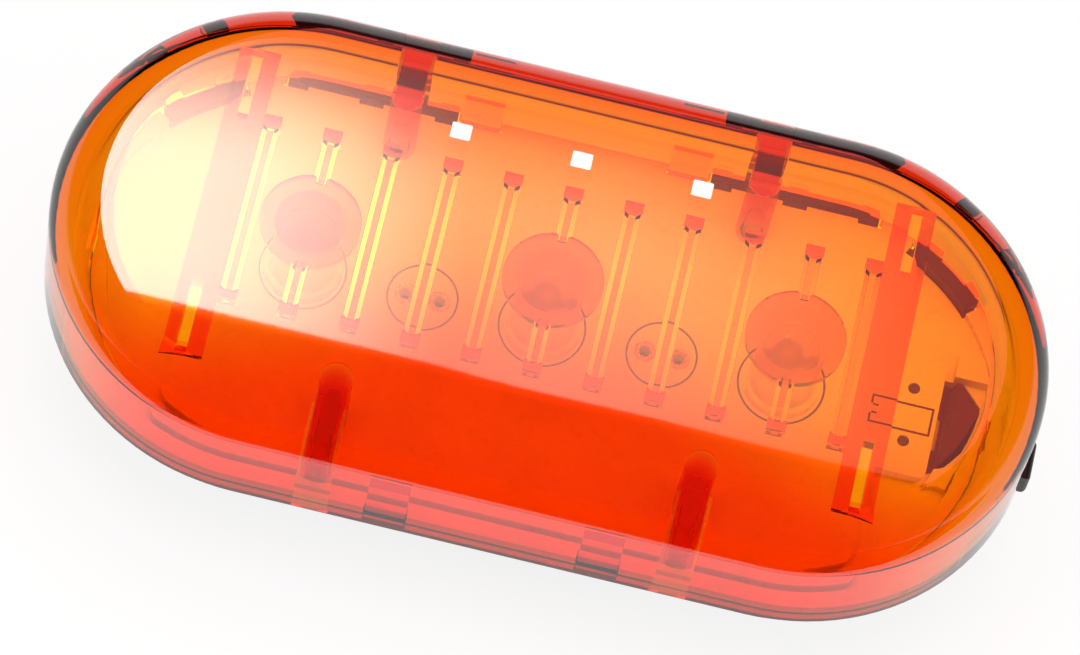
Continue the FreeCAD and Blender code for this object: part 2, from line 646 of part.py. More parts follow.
def circuit_board():
    """White board with rounded corners, the switch tab, and all its holes."""
    half_width = LENS_WIDTH / 2 - INSET_BOARD
    main = rounded_block(-BOARD_HALF_LENGTH, BOARD_HALF_LENGTH, half_width, Z_BOARD_BACK, Z_BOARD_TOP,
                         BOARD_CORNER_RADIUS)
    main = main.common(racetrack(INSET_BOARD, Z_BOARD_BACK, Z_BOARD_TOP))
    tab = box(0, TAB_END, -TAB_WIDTH / 2, TAB_WIDTH / 2, Z_BOARD_BACK, Z_BOARD_TOP)
    board = joined([main, tab])
    low, high = Z_BOARD_BACK - 1, Z_BOARD_TOP + 1
    holes = [rod(x, y, low, high, SCREW_DIAMETER + 2 * SCREW_CLEARANCE) for x, y in post_places()]
    for x in led_places().values():
        holes += [rod(x + s * LEAD_SPACING / 2, 0, low, high, LEAD_HOLE_DIAMETER) for s in (-1, 1)]
    for x in (-LED_PITCH, LED_PITCH):
        holes += [rod(x + s * LEAD_SPACING / 2, 0, low, high, SPARE_HOLE_DIAMETER) for s in (-1, 1)]
    holes += [rod(SWITCH_PIN_X, s * SWITCH_PIN_SPACING / 2, low, high, SWITCH_PIN_HOLE) for s in (-1, 1)]
    return board.cut(holes)


def led(x):
    """Round LED: flange with its flat, body, dome and two trimmed leads."""
    flange = rod(x, 0, Z_BOARD_TOP, Z_BOARD_TOP + LED_FLANGE_HEIGHT, LED_FLANGE_DIAMETER)
    flange = flange.cut(box(x - LED_DIAMETER, x - LED_FLAT, -LED_DIAMETER, LED_DIAMETER, 0, Z_FACE))
    dome_z = Z_BOARD_TOP + LED_HEIGHT - LED_DIAMETER / 2
    body = rod(x, 0, Z_BOARD_TOP, dome_z, LED_DIAMETER)
    dome = Part.makeSphere(LED_DIAMETER / 2, FreeCAD.Vector(x, 0, dome_z))
    low = Z_BOARD_BACK - LEAD_STUB
    half = LEAD_WIDTH / 2
    places = [x + s * LEAD_SPACING / 2 for s in (-1, 1)]
    leads = [box(place - half, place + half, -half, half, low, Z_BOARD_TOP + LED_FLANGE_HEIGHT / 2)
             for place in places]
    return joined([flange, body, dome] + leads)


def board_screws():
    """Four small slotted screws, from behind the board into the lens posts."""
    pieces = []
    for x, y in post_places():
        head = rod(x, y, Z_BOARD_BACK - SCREW_HEAD_HEIGHT, Z_BOARD_BACK, SCREW_HEAD_DIAMETER)
        slot = box(x - SCREW_HEAD_DIAMETER, x + SCREW_HEAD_DIAMETER, y - SCREW_SLOT / 2, y + SCREW_SLOT / 2,
                   0, Z_BOARD_BACK - SCREW_HEAD_HEIGHT / 2)
        shank = rod(x, y, Z_BOARD_BACK - SCREW_HEAD_HEIGHT / 2, Z_BOARD_BACK + SCREW_LENGTH, SCREW_DIAMETER)
        pieces.append(head.cut(slot).fuse(shank).removeSplitter())
    return Part.makeCompound(pieces)


def controller_chip():
    """Flash controller with a row of legs along each side."""
    half = CHIP_SIZE / 2
    low = Z_BOARD_BACK - CHIP_HEIGHT
    body = box(CHIP_X - half, CHIP_X + half, -half, half, low, Z_BOARD_BACK - CHIP_STANDOFF)
    pieces = [body]
    for side in (-1, 1):
        for step in range(CHIP_LEGS_PER_SIDE):
            y = (step - (CHIP_LEGS_PER_SIDE - 1) / 2) * CHIP_LEG_PITCH
            pieces.append(box(CHIP_X + side * (half - CHIP_LEG_ROOT), CHIP_X + side * (half + CHIP_LEG_REACH),
                              y - CHIP_LEG_WIDTH / 2, y + CHIP_LEG_WIDTH / 2,
                              Z_BOARD_BACK - CHIP_LEG_THICKNESS, Z_BOARD_BACK))
    return joined(pieces)


def chip_part(x, height):
    """Small two-ended part soldered flat on the back of the board."""
    return box(x - RESISTOR_LENGTH / 2, x + RESISTOR_LENGTH / 2, -RESISTOR_WIDTH / 2, RESISTOR_WIDTH / 2,
               Z_BOARD_BACK - height, Z_BOARD_BACK)


def switch_body():
    """Switch housing with its two soldered pins and the socket of the plunger."""
    back = SWITCH_FRONT - SWITCH_DEPTH
    low = Z_BOARD_BACK - SWITCH_HEIGHT
    housing = box(back, SWITCH_FRONT, -SWITCH_WIDTH / 2, SWITCH_WIDTH / 2, low, Z_BOARD_BACK)
    half_width = PLUNGER_WIDTH / 2 + PLUNGER_CLEARANCE
    half_height = PLUNGER_HEIGHT / 2 + PLUNGER_CLEARANCE
    socket = box(SWITCH_FRONT - PLUNGER_SOCKET_DEPTH, SWITCH_FRONT + 1, -half_width, half_width,
                 Z_PLUNGER - half_height, Z_PLUNGER + half_height)
    pins = [rod(SWITCH_PIN_X, s * SWITCH_PIN_SPACING / 2, Z_BOARD_BACK - 1, Z_BOARD_TOP, SWITCH_PIN_DIAMETER)
            for s in (-1, 1)]
    return joined([housing] + pins).cut(socket)


def switch_plunger():
    """Plunger that slides into the switch."""
    back = SWITCH_FRONT - PLUNGER_SOCKET_DEPTH + PLUNGER_TRAVEL + PLUNGER_CLEARANCE
    block = box(back, SWITCH_FRONT + PLUNGER_REACH, -PLUNGER_WIDTH / 2, PLUNGER_WIDTH / 2,
                Z_PLUNGER - PLUNGER_HEIGHT / 2, Z_PLUNGER + PLUNGER_HEIGHT / 2)
    tip = [e for e in block.Edges if e.BoundBox.XMin > SWITCH_FRONT]
    return block.makeFillet(PLUNGER_EDGE_RADIUS, tip)


def push_button():
    """Rubber button: a wide block with sloped shoulders inside, and a rounded stem outside."""
    front = BUTTON_BACK + BUTTON_BLOCK_DEPTH
    z_low = Z_PLUNGER - BUTTON_STEM_HEIGHT / 2
    block = block_prism(0, z_low, Z_BUTTON_TOP)
    block = block.makeFillet(BUTTON_EDGE_RADIUS, edges_at(block, Z_BUTTON_TOP) + upright_edges(block))
    tip = LENS_LENGTH / 2 + BUTTON_PROTRUSION
    half_stem = BUTTON_STEM_WIDTH / 2
    stem = box(front - 1, tip, -half_stem, half_stem, z_low, z_low + BUTTON_STEM_HEIGHT)
    outer = [e for e in stem.Edges if e.BoundBox.XMin > front]
    stem = stem.makeFillet(BUTTON_EDGE_RADIUS, outer)
    return joined([block, stem])


def cell(y, positive_side):
    """AAA cell along X with its raised positive end towards one side."""
    if positive_side > 0:
        start = BAY_RIGHT - CONTACT_THICKNESS
    else:
        start = BAY_LEFT + CONTACT_THICKNESS
    inward = FreeCAD.Vector(-positive_side, 0, 0)
    tip = FreeCAD.Vector(start, y, Z_CELL)
    nub = Part.makeCylinder(CELL_NUB_DIAMETER / 2, 2 * CELL_NUB_HEIGHT, tip, inward)
    can_length = CELL_LENGTH - CELL_NUB_HEIGHT
    can = Part.makeCylinder(CELL_DIAMETER / 2, can_length, tip + inward * CELL_NUB_HEIGHT, inward)
    rims = [e for e in can.Edges if e.Closed]
    return joined([can.makeChamfer(CELL_RIM_CHAMFER, rims), nub])


def contact_leaf(y):
    """Springy ear that leaves the top of a contact and bends up to a pad under the board."""
    x = BAY_RIGHT - CONTACT_THICKNESS
    top = Z_BOARD_BACK - CONTACT_LEAF_GAP
    side = [
        (x, Z_CONTACT_TOP - 1),
        (x, Z_CONTACT_TOP),
        (x + CONTACT_LEAF_LENGTH, top),
        (x + CONTACT_LEAF_LENGTH + CONTACT_THICKNESS, top - CONTACT_THICKNESS),
        (x + CONTACT_THICKNESS, Z_CONTACT_TOP - CONTACT_THICKNESS),
        (x + CONTACT_THICKNESS, Z_CONTACT_TOP - 1),
    ]
    points = [FreeCAD.Vector(px, y - CONTACT_EAR_WIDTH / 2, pz) for px, pz in side]
    return Part.Face(Part.makePolygon(points + points[:1])).extrude(FreeCAD.Vector(0, CONTACT_EAR_WIDTH, 0))


def contact_plate(x, y0, y1):
    """Upright sheet in the end of the bay, with its lower corners cut to the cradle."""
    low = Z_BAY_FLOOR + CONTACT_FLOOR_GAP
    top = Z_CONTACT_TOP - CONTACT_THICKNESS
    sheet = box(x, x + CONTACT_THICKNESS, y0, y1, low, top)
    return sheet.common(joined(cradle(CELL_DIAMETER / 2) + [box(BAY_LEFT, BAY_RIGHT, y0, y1, Z_CELL, top)]))


def end_contact(y):
    """Contact at the button end of one cell, with its ear to the board."""
    x = BAY_RIGHT - CONTACT_THICKNESS
    sheet = contact_plate(x, y - CONTACT_WIDTH / 2, y + CONTACT_WIDTH / 2)
    neck = box(x, x + CONTACT_THICKNESS, y - CONTACT_EAR_WIDTH / 2, y + CONTACT_EAR_WIDTH / 2,
               Z_CELL, Z_CONTACT_TOP - 1)
    return joined([sheet, neck, contact_leaf(y)])


def bridge_contact():
    """One sheet across the far end of both cells, which joins them in series."""
    reach = CELL_Y + CONTACT_WIDTH / 2
    return contact_plate(BAY_LEFT, -reach, reach)


def arc_through(start, tangent, end):
    """Circular arc from a point and its direction to another point."""
    chord = end - start
    across = chord.cross(tangent)
    if across.Length < 1e-9 * chord.Length:
        return Part.LineSegment(start, end).toShape()
    half_angle = chord.getAngle(tangent)
    normal = tangent.cross(chord).normalize()
    inward = normal.cross(FreeCAD.Vector(chord).normalize())
    sagitta = chord.Length / 2 * math.tan(half_angle / 2)
    middle = start + chord * 0.5 - inward * sagitta
    return Part.Arc(start, middle, end).toShape()


def biarc(start, tangent, end, end_tangent):
    """Two arcs that meet smoothly between two points with given directions."""
    gap = end - start
    both = tangent + end_tangent
    a = 2 * (1 - tangent.dot(end_tangent))
    b = gap.dot(both)
    reach = (-b + math.sqrt(b * b + a * gap.dot(gap))) / a
    joint = (start + end + (tangent - end_tangent) * reach) * 0.5
    middle_tangent = (end - end_tangent * reach - start - tangent * reach).normalize()
    return [arc_through(start, tangent, joint), arc_through(joint, middle_tangent, end)]


def contact_spring(x, direction, y):
    """Conical wire spring from a contact sheet to the flat end of a cell, as one unbroken tube."""
    first = SPRING_WIRE / 2 + SPRING_END_GAP
    run = SPRING_LENGTH - 2 * first
    steps = 4 * SPRING_TURNS

    def on_coil(share):
        angle = 2 * math.pi * SPRING_TURNS * share
        radius = (SPRING_BASE_DIAMETER + (SPRING_TIP_DIAMETER - SPRING_BASE_DIAMETER) * share) / 2
        along = x + direction * (first + run * share)
        return FreeCAD.Vector(along, y + radius * math.cos(angle), Z_CELL + radius * math.sin(angle))

    def heading(share):
        small = 1e-4
        return (on_coil(share + small) - on_coil(share - small)).normalize()

    def lead(share, sign):
        return on_coil(share) + heading(share) * (sign * SPRING_WIRE)

    edges = [Part.LineSegment(lead(0, -1), on_coil(0)).toShape()]
    for step in range(steps):
        start, end = step / steps, (step + 1) / steps
        edges += biarc(on_coil(start), heading(start), on_coil(end), heading(end))
    edges.append(Part.LineSegment(on_coil(1), lead(1, 1)).toShape())
    path = Part.Wire(edges)
    section = Part.Wire(Part.makeCircle(SPRING_WIRE / 2, lead(0, -1), heading(0)))
    tube = path.makePipeShell([section], True, False)
    pitch = math.hypot(run / SPRING_TURNS, (SPRING_BASE_DIAMETER - SPRING_TIP_DIAMETER) / 2 / SPRING_TURNS)
    print(f"spring: gap between turns {pitch - SPRING_WIRE:.2f}, volume {tube.Volume:.2f}, "
          f"section times length {math.pi * SPRING_WIRE ** 2 / 4 * path.Length:.2f}")
    return tube


def light_parts():
    """Every piece of the light under its own name."""
    parts = {
        "rear_case": rear_case(),
        "cell_upper": cell(CELL_Y, 1),
        "cell_lower": cell(-CELL_Y, -1),
        "contact_bridge": bridge_contact(),
        "contact_positive": end_contact(CELL_Y),
        "contact_negative": end_contact(-CELL_Y),
        "spring_bridge": contact_spring(BAY_LEFT + CONTACT_THICKNESS, 1, CELL_Y),
        "spring_negative": contact_spring(BAY_RIGHT - CONTACT_THICKNESS, -1, -CELL_Y),
        "lens_cover": lens_cover(),
        "inner_frame": inner_frame(),
        "circuit_board": circuit_board(),
        "board_screws": board_screws(),
        "controller_chip": controller_chip(),
        "capacitor": chip_part(CAPACITOR_X, CAPACITOR_HEIGHT),
        "switch_body": switch_body(),
        "switch_plunger": switch_plunger(),
        "push_button": push_button(),
    }
    for number, x in enumerate(RESISTOR_PLACES, start=1):
        parts[f"resistor_{number}"] = chip_part(x, RESISTOR_HEIGHT)
    for name, x in led_places().items():
        parts[name] = led(x)
    return parts


os.makedirs("parts", exist_ok=True)
for name, shape in light_parts().items():
    shape.exportStep(f"parts/{name}.step")
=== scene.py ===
"""Dresses the bicycle tail light: finishes, printed marks, LEDs, cells and the studio round it."""

from __future__ import annotations

import logging
import math
from dataclasses import dataclass, field
from enum import Enum
from typing import Any, Callable, Iterable, Sequence

import bmesh
import bpy
from mathutils import Matrix, Vector


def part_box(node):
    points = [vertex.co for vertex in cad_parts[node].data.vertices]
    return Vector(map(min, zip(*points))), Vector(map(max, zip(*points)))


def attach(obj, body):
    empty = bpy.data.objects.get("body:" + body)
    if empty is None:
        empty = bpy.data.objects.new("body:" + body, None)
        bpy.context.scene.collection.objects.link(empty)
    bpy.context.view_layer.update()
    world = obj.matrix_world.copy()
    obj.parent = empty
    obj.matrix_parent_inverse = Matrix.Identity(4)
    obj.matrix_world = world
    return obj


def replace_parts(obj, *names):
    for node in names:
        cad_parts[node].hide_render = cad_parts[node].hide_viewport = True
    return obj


LOG = logging.getLogger("tail_light")

Point = tuple[float, float, float]
Pair = tuple[float, float]
Tree = bpy.types.NodeTree
Socket = bpy.types.NodeSocket


def mm(value: float) -> float:
    """Millimetres as metres."""
    return value * 0.001


def box_mm(node: str) -> tuple[Point, Point]:
    """Lowest and highest corner of a CAD node in millimetres, to the nearest micrometre."""
    low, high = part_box(node)
    return tuple(round(c / mm(1.0), 3) for c in low), tuple(round(c / mm(1.0), 3) for c in high)


def linear(hex_colour: str) -> tuple[float, float, float, float]:
    """Turns an sRGB hex colour into the linear values that shaders take.

    Args:
        hex_colour: Colour as #RRGGBB.

    Returns:
        Red, green, blue and an alpha of 1.
    """
    digits = hex_colour.lstrip("#")
    channels = [int(digits[i : i + 2], 16) / 255 for i in (0, 2, 4)]
    red, green, blue = (c / 12.92 if c <= 0.04045 else ((c + 0.055) / 1.055) ** 2.4 for c in channels)
    return red, green, blue, 1.0


def add_node(tree: Tree, kind: str, settings: dict[str | int, Any] | None = None,
             links: dict[str | int, Socket] | None = None) -> bpy.types.Node:
    """Adds a node, sets its properties and unlinked inputs, and links the others.

    Args:
        tree: Node tree that gets the node.
        kind: Blender's identifier of the node.
        settings: Properties of the node, or values of its inputs by name or number.
        links: Output sockets to link, by the name or number of the input.

    Returns:
        The new node.
    """
    node = tree.nodes.new(kind)
    for name, value in (settings or {}).items():
        if isinstance(name, str) and hasattr(node, name):
            setattr(node, name, value)
        else:
            node.inputs[name].default_value = value
    for name, socket in (links or {}).items():
        tree.links.new(socket, node.inputs[name])
    return node


@dataclass(frozen=True)
class Finish:
    """A named surface finish, which makes its material once."""

    name: str = "finish"

    def material(self) -> bpy.types.Material:
        """Gives the material, made at its first use.

        Returns:
            The material of this finish.
        """
        found = bpy.data.materials.get(self.name)
        if found:
            return found
        made = bpy.data.materials.new(self.name)
        made.use_nodes = True
        made.node_tree.nodes.clear()
        output = add_node(made.node_tree, "ShaderNodeOutputMaterial")
        self.surface(made.node_tree, output)
        return made

    def surface(self, tree: Tree, output: bpy.types.Node) -> None:
        """Fills the material's nodes.

        Args:
            tree: Node tree of the material.
            output: Its output node.
        """
        raise NotImplementedError

    @staticmethod
    def place(tree: Tree) -> dict[str, Socket]:
        """Gives each point's place in metres, which stays with the piece as it moves.

        Args:
            tree: Node tree of the material.

        Returns:
            The whole place as "point", and its parts as "x", "y" and "z".
        """
        point = add_node(tree, "ShaderNodeTexCoord").outputs["Object"]
        axes = add_node(tree, "ShaderNodeSeparateXYZ", None, {0: point}).outputs
        return {"point": point, "x": axes["X"], "y": axes["Y"], "z": axes["Z"]}

    @classmethod
    def from_middle(cls, tree: Tree) -> tuple[Socket, Socket]:
        """Gives each point's distance from the middle.

        Args:
            tree: Node tree of the material.

        Returns:
            The distance along the light, and the one across it.
        """
        place = cls.place(tree)
        along, across = (add_node(tree, "ShaderNodeMath", {"operation": "ABSOLUTE"}, {0: place[axis]})
                         for axis in "xy")
        return along.outputs[0], across.outputs[0]

    @staticmethod
    def within(tree: Tree, *limits: tuple[Socket, Pair]) -> Socket:
        """Marks where all the given measures lie within their limits.

        Args:
            tree: Node tree of the material.
            limits: Measure, and the least and greatest value in millimetres that it may have.

        Returns:
            1 inside and 0 elsewhere.
        """
        marked = None
        for measure, (least, greatest) in limits:
            settings = {"operation": "COMPARE", 1: mm((least + greatest) / 2), 2: mm((greatest - least) / 2)}
            inside = add_node(tree, "ShaderNodeMath", settings, {0: measure}).outputs[0]
            marked = inside if marked is None else add_node(
                tree, "ShaderNodeMath", {"operation": "MULTIPLY"}, {0: marked, 1: inside}).outputs[0]
        return marked

    @classmethod
    def relief(cls, tree: Tree, size_mm: float, depth_mm: float, detail: float) -> tuple[Socket, Socket]:
        """Covers the surface with soft random bumps.

        Args:
            tree: Node tree of the material.
            size_mm: Rough width of one bump.
            depth_mm: Height of a full bump.
            detail: How many finer layers it holds.

        Returns:
            The height pattern, from 0 to 1, and the normal that it gives.
        """
        pattern = add_node(tree, "ShaderNodeTexNoise", {"Scale": 1 / mm(size_mm), "Detail": detail},
                           {"Vector": cls.place(tree)["point"]}).outputs["Fac"]
        bumps = add_node(tree, "ShaderNodeBump", {"Strength": 1.0, "Distance": mm(depth_mm)},
                         {"Height": pattern})
        return pattern, bumps.outputs["Normal"]

    @staticmethod
    def let_light_in(tree: Tree, glass: bpy.types.Node, output: bpy.types.Node,
                     also: Socket | None = None) -> None:
        """Lets lamp light straight through a clear body, so that what is inside is lit.

        Args:
            tree: Node tree of the material.
            glass: Shader that bends what is seen.
            output: Output node of the material.
            also: Share of the surface that lets what is seen straight through too.
        """
        clear = add_node(tree, "ShaderNodeBsdfTransparent")
        path = add_node(tree, "ShaderNodeLightPath").outputs
        lit = add_node(tree, "ShaderNodeMath", {"operation": "MAXIMUM"},
                       {0: path["Is Shadow Ray"], 1: path["Is Diffuse Ray"]})
        if also:
            lit = add_node(tree, "ShaderNodeMath", {"operation": "MAXIMUM"}, {0: lit.outputs[0], 1: also})
        both = add_node(tree, "ShaderNodeMixShader", None,
                        {0: lit.outputs[0], 1: glass.outputs[0], 2: clear.outputs[0]})
        tree.links.new(both.outputs[0], output.inputs["Surface"])


@dataclass(frozen=True)
class AmberPolycarbonate(Finish):
    """Injection-moulded transparent polycarbonate, dyed amber-red and mould-polished.

    The dye works through the thickness, so thin walls glow orange and long ways through it turn dark red.
    The colour is also tinted darker along the near side, which is painted shade, and where the inside of
    the face is moulded thicker.
    """

    name: str = "amber_polycarbonate"
    ior: float = 1.585
    polished: float = 0.012
    flow_mm: float = 9.0
    flow_depth_mm: float = 0.003

    # The dye, and the painted shade along the near side, where the face turns towards the skirt: what the
    # surface lets through there, where that shade fades out across the light, and how it shifts at the ends
    dye: str = "#FEF000"
    dye_per_metre: float = 2500.0
    near_shade: float = 0.19
    near_shade_y_mm: Pair = (-10.0, 4.0)
    near_shade_shift_mm: tuple[Pair, Pair] = ((6.0, 0.0), (36.0, 10.5))

    # Inner side of the face: caps of the ribs, end bands and bullseyes, each with what it lets through
    inner_z_mm: Pair = (0.0, 24.0)
    rib_pitch_mm: float = 4.5
    ribs_half_length_mm: float = 23.1
    caps: float = 0.15
    caps_y_mm: Pair = (6.7, 7.6)
    cap_half_width_mm: float = 0.7
    bands: float = 0.15
    bands_x_mm: Pair = (23.1, 26.1)
    bands_half_width_mm: float = 12.6
    bullseyes: float = 0.27
    led_pitch_mm: float = 18.0
    bullseye_radius_mm: float = 3.7

    # Thin roofs of the end slots, which stay clear
    slots_x_mm: Pair = (24.2, 25.2)
    slots_y_mm: Pair = (7.0, 12.3)
    slots_z_mm: Pair = (24.0, 26.0)

    # Screw posts with their webs: frosted by the mould, and merged by this share with what is behind
    posts_x_mm: Pair = (12.1, 14.7)
    posts_y_mm: Pair = (10.4, 16.3)
    posts_z_mm: Pair = (14.0, 23.5)
    posts_frost: float = 0.5
    posts_merge: float = 0.75

    def posts(self, tree: Tree) -> Socket:
        """Marks the screw posts and their webs with 1."""
        along, across = self.from_middle(tree)
        return self.within(tree, (along, self.posts_x_mm), (across, self.posts_y_mm),
                           (self.place(tree)["z"], self.posts_z_mm))

    def near_side_shade(self, tree: Tree) -> Socket:
        """Paints shade into the colour along the near side, less so towards the ends.

        Args:
            tree: Node tree of the material.

        Returns:
            What the surface lets through, up to 1.
        """
        along, _ = self.from_middle(tree)
        # Painted shade: the colour darkens towards the near side, in place of the weaker light there, and its
        # edge shifts at the ends.
        (start, none), (end, most) = self.near_shade_shift_mm
        nearer = add_node(tree, "ShaderNodeMapRange",
                          {"From Min": mm(start), "From Max": mm(end),
                           "To Min": mm(none), "To Max": mm(most)}, {"Value": along})
        reach = add_node(tree, "ShaderNodeMath", {"operation": "ADD"},
                         {0: self.place(tree)["y"], 1: nearer.outputs["Result"]})
        start, end = self.near_shade_y_mm
        clear = add_node(tree, "ShaderNodeMapRange",
                         {"interpolation_type": "SMOOTHSTEP", "From Min": mm(start), "From Max": mm(end),
                          "To Min": self.near_shade, "To Max": 1.0}, {"Value": reach.outputs[0]})
        return clear.outputs["Result"]

    def tint(self, tree: Tree) -> Socket:
        """Colours each crossing: painted shade on the near side, darker caps, bands and bullseyes, plain
        elsewhere.

        Args:
            tree: Node tree of the material.

        Returns:
            The colour.
        """
        along, across = self.from_middle(tree)
        place = self.place(tree)
        from_rib, from_led = (
            add_node(tree, "ShaderNodeMath", {"operation": "PINGPONG", 1: mm(pitch / 2)}, {0: place["x"]})
            for pitch in (self.rib_pitch_mm, self.led_pitch_mm))
        spot = add_node(tree, "ShaderNodeCombineXYZ", None, {0: from_led.outputs[0], 1: place["y"]})
        off_centre = add_node(tree, "ShaderNodeVectorMath", {"operation": "LENGTH"}, {0: spot.outputs[0]})
        ribbed = (along, (0.0, self.ribs_half_length_mm))
        on_rib = (from_rib.outputs[0], (0.0, self.cap_half_width_mm))
        zones = (
            (self.caps, ((across, self.caps_y_mm), on_rib, ribbed)),
            (self.bands, ((along, self.bands_x_mm), (across, (0.0, self.bands_half_width_mm)))),
            (self.bullseyes, ((off_centre.outputs["Value"], (0.0, self.bullseye_radius_mm)), ribbed)))
        # Starts from the painted shade along the near side.
        clear = self.near_side_shade(tree)
        for factor, limits in zones:
            marked = self.within(tree, (place["z"], self.inner_z_mm), *limits)
            deeper = add_node(tree, "ShaderNodeMapRange", {"To Min": 1.0, "To Max": factor},
                              {"Value": marked})
            clear = add_node(tree, "ShaderNodeMath", {"operation": "MULTIPLY"},
                             {0: clear, 1: deeper.outputs["Result"]}).outputs[0]
        slots = self.within(tree, (along, self.slots_x_mm), (across, self.slots_y_mm),
                            (place["z"], self.slots_z_mm))
        for plain in (slots, self.posts(tree)):
            clear = add_node(tree, "ShaderNodeMath", {"operation": "MAXIMUM"},
                             {0: clear, 1: plain}).outputs[0]
        return add_node(tree, "ShaderNodeCombineColor", {"Red": 1.0},
                        {"Green": clear, "Blue": clear}).outputs[0]

    def gloss(self, tree: Tree) -> Socket:
        """Roughness: polished, but frosted on the screw posts and their webs."""
        return add_node(tree, "ShaderNodeMapRange", {"To Min": self.polished, "To Max": self.posts_frost},
                        {"Value": self.posts(tree)}).outputs["Result"]

    def surface(self, tree: Tree, output: bpy.types.Node) -> None:
        """Glass that bends what is seen through it, with faint flow waves in its polish.

        Args:
            tree: Node tree of the material.
            output: Its output node.
        """
        _, waves = self.relief(tree, self.flow_mm, self.flow_depth_mm, 0.0)
        glass = add_node(tree, "ShaderNodeBsdfPrincipled", {"IOR": self.ior, "Transmission Weight": 1.0},
                         {"Base Color": self.tint(tree), "Roughness": self.gloss(tree), "Normal": waves})
        merged = add_node(tree, "ShaderNodeMath", {"operation": "MULTIPLY", 1: self.posts_merge},
                          {0: self.posts(tree)})
        self.let_light_in(tree, glass, output, merged.outputs[0])
        dye = add_node(tree, "ShaderNodeVolumeAbsorption",
                       {"Color": linear(self.dye), "Density": self.dye_per_metre})
        tree.links.new(dye.outputs[0], output.inputs["Volume"])


@dataclass(frozen=True)
class ClearEpoxy(Finish):
    """Cast epoxy of the LEDs, slightly warm and milky, with the soft gloss and waves of its casting cup."""

    name: str = "milky_epoxy"
    tone: str = "#FFF8F2"
    clear: float = 0.6
    ior: float = 1.53
    roughness: float = 0.2
    wave_mm: float = 1.6
    wave_depth_mm: float = 0.002

    def surface(self, tree: Tree, output: bpy.types.Node) -> None:
        """Partly milky glass with a faint waviness.

        Args:
            tree: Node tree of the material.
            output: Its output node.
        """
        _, waves = self.relief(tree, self.wave_mm, self.wave_depth_mm, 1.0)
        glass = add_node(tree, "ShaderNodeBsdfPrincipled",
                         {"Base Color": linear(self.tone), "Roughness": self.roughness, "IOR": self.ior,
                          "Transmission Weight": self.clear}, {"Normal": waves})
        self.let_light_in(tree, glass, output)


@dataclass(frozen=True)
class Solid(Finish):
    """Opaque finish with a fine surface grain and slight unevenness of colour and gloss."""

    colour: str = "#808080"
    second: str = "#707070"
    roughness: float = 0.5
    roughness_spread: float = 0.08
    ior: float = 1.5
    metallic: float = 0.0
    coat: float = 0.0
    coat_roughness: float = 0.1

    # Grain and clouds: their widths, finer layers, and the pattern values between which they act
    grain_mm: float = 0.25
    grain_depth_mm: float = 0.006
    grain_detail: float = 3.0
    gloss_edges: Pair = (0.3, 0.7)
    cloud_mm: float = 5.0
    cloud_detail: float = 2.0
    cloud_edges: Pair = (0.35, 0.65)

    def shade(self, tree: Tree) -> Socket:
        """Colour that drifts between two near tones.

        Args:
            tree: Node tree of the material.

        Returns:
            The colour.
        """
        cloud = add_node(tree, "ShaderNodeTexNoise",
                         {"Scale": 1 / mm(self.cloud_mm), "Detail": self.cloud_detail},
                         {"Vector": self.place(tree)["point"]})
        share = add_node(tree, "ShaderNodeMapRange",
                         {"interpolation_type": "SMOOTHSTEP", "From Min": self.cloud_edges[0],
                          "From Max": self.cloud_edges[1]}, {"Value": cloud.outputs["Fac"]})
        mixed = add_node(tree, "ShaderNodeMix",
                         {"data_type": "RGBA", 6: linear(self.colour), 7: linear(self.second)},
                         {0: share.outputs["Result"]})
        return mixed.outputs[2]

    def shader(self, tree: Tree) -> bpy.types.Node:
        """Makes the principled surface with its patterns.

        Args:
            tree: Node tree of the material.

        Returns:
            The shader's node.
        """
        grain, bumps = self.relief(tree, self.grain_mm, self.grain_depth_mm, self.grain_detail)
        gloss = add_node(tree, "ShaderNodeMapRange",
                         {"From Min": self.gloss_edges[0], "From Max": self.gloss_edges[1],
                          "To Min": self.roughness - self.roughness_spread,
                          "To Max": self.roughness + self.roughness_spread}, {"Value": grain})
        settings: dict[str | int, Any] = {"Coat Weight": self.coat, "Coat Roughness": self.coat_roughness}
        if self.metallic:
            settings["Metallic"] = self.metallic
        else:
            settings["IOR"] = self.ior
        return add_node(tree, "ShaderNodeBsdfPrincipled", settings,
                        {"Base Color": self.shade(tree), "Roughness": gloss.outputs["Result"],
                         "Normal": bumps})

    def surface(self, tree: Tree, output: bpy.types.Node) -> None:
        """Links the shader straight to the output."""
        tree.links.new(self.shader(tree).outputs[0], output.inputs["Surface"])


@dataclass(frozen=True)
class Terminated(Solid):
    """Body of a small part between bright tinned ends, told apart by the distance from its middle."""

    middle_mm: float = 0.0
    half_body_mm: float = 0.7

    def surface(self, tree: Tree, output: bpy.types.Node) -> None:
        """Body finish within the half length, tin beyond it.

        Args:
            tree: Node tree of the material.
            output: Its output node.
        """
        off = add_node(tree, "ShaderNodeMath", {"operation": "SUBTRACT", 1: mm(self.middle_mm)},
                       {0: self.place(tree)["x"]})
        away = add_node(tree, "ShaderNodeMath", {"operation": "ABSOLUTE"}, {0: off.outputs[0]})
        beyond = add_node(tree, "ShaderNodeMath", {"operation": "GREATER_THAN", 1: mm(self.half_body_mm)},
                          {0: away.outputs[0]})
        tin = Finishes.TIN.value.shader(tree)
        both = add_node(tree, "ShaderNodeMixShader", None,
                        {0: beyond.outputs[0], 1: self.shader(tree).outputs[0], 2: tin.outputs[0]})
        tree.links.new(both.outputs[0], output.inputs["Surface"])


@dataclass(frozen=True)
class Jacket(Solid):
    """Printed vinyl shrunk over a cell, with two plain bands round it."""

    band: str = "#C9A24A"
    bands_mm: tuple[Pair, ...] = ()

    def shade(self, tree: Tree) -> Socket:
        """Ground colour with its printed bands.

        Args:
            tree: Node tree of the material.

        Returns:
            The colour.
        """
        along = self.place(tree)["x"]
        colour = super().shade(tree)
        for band_mm in self.bands_mm:
            colour = add_node(tree, "ShaderNodeMix", {"data_type": "RGBA", 7: linear(self.band)},
                              {0: self.within(tree, (along, band_mm)), 6: colour}).outputs[2]
        return colour


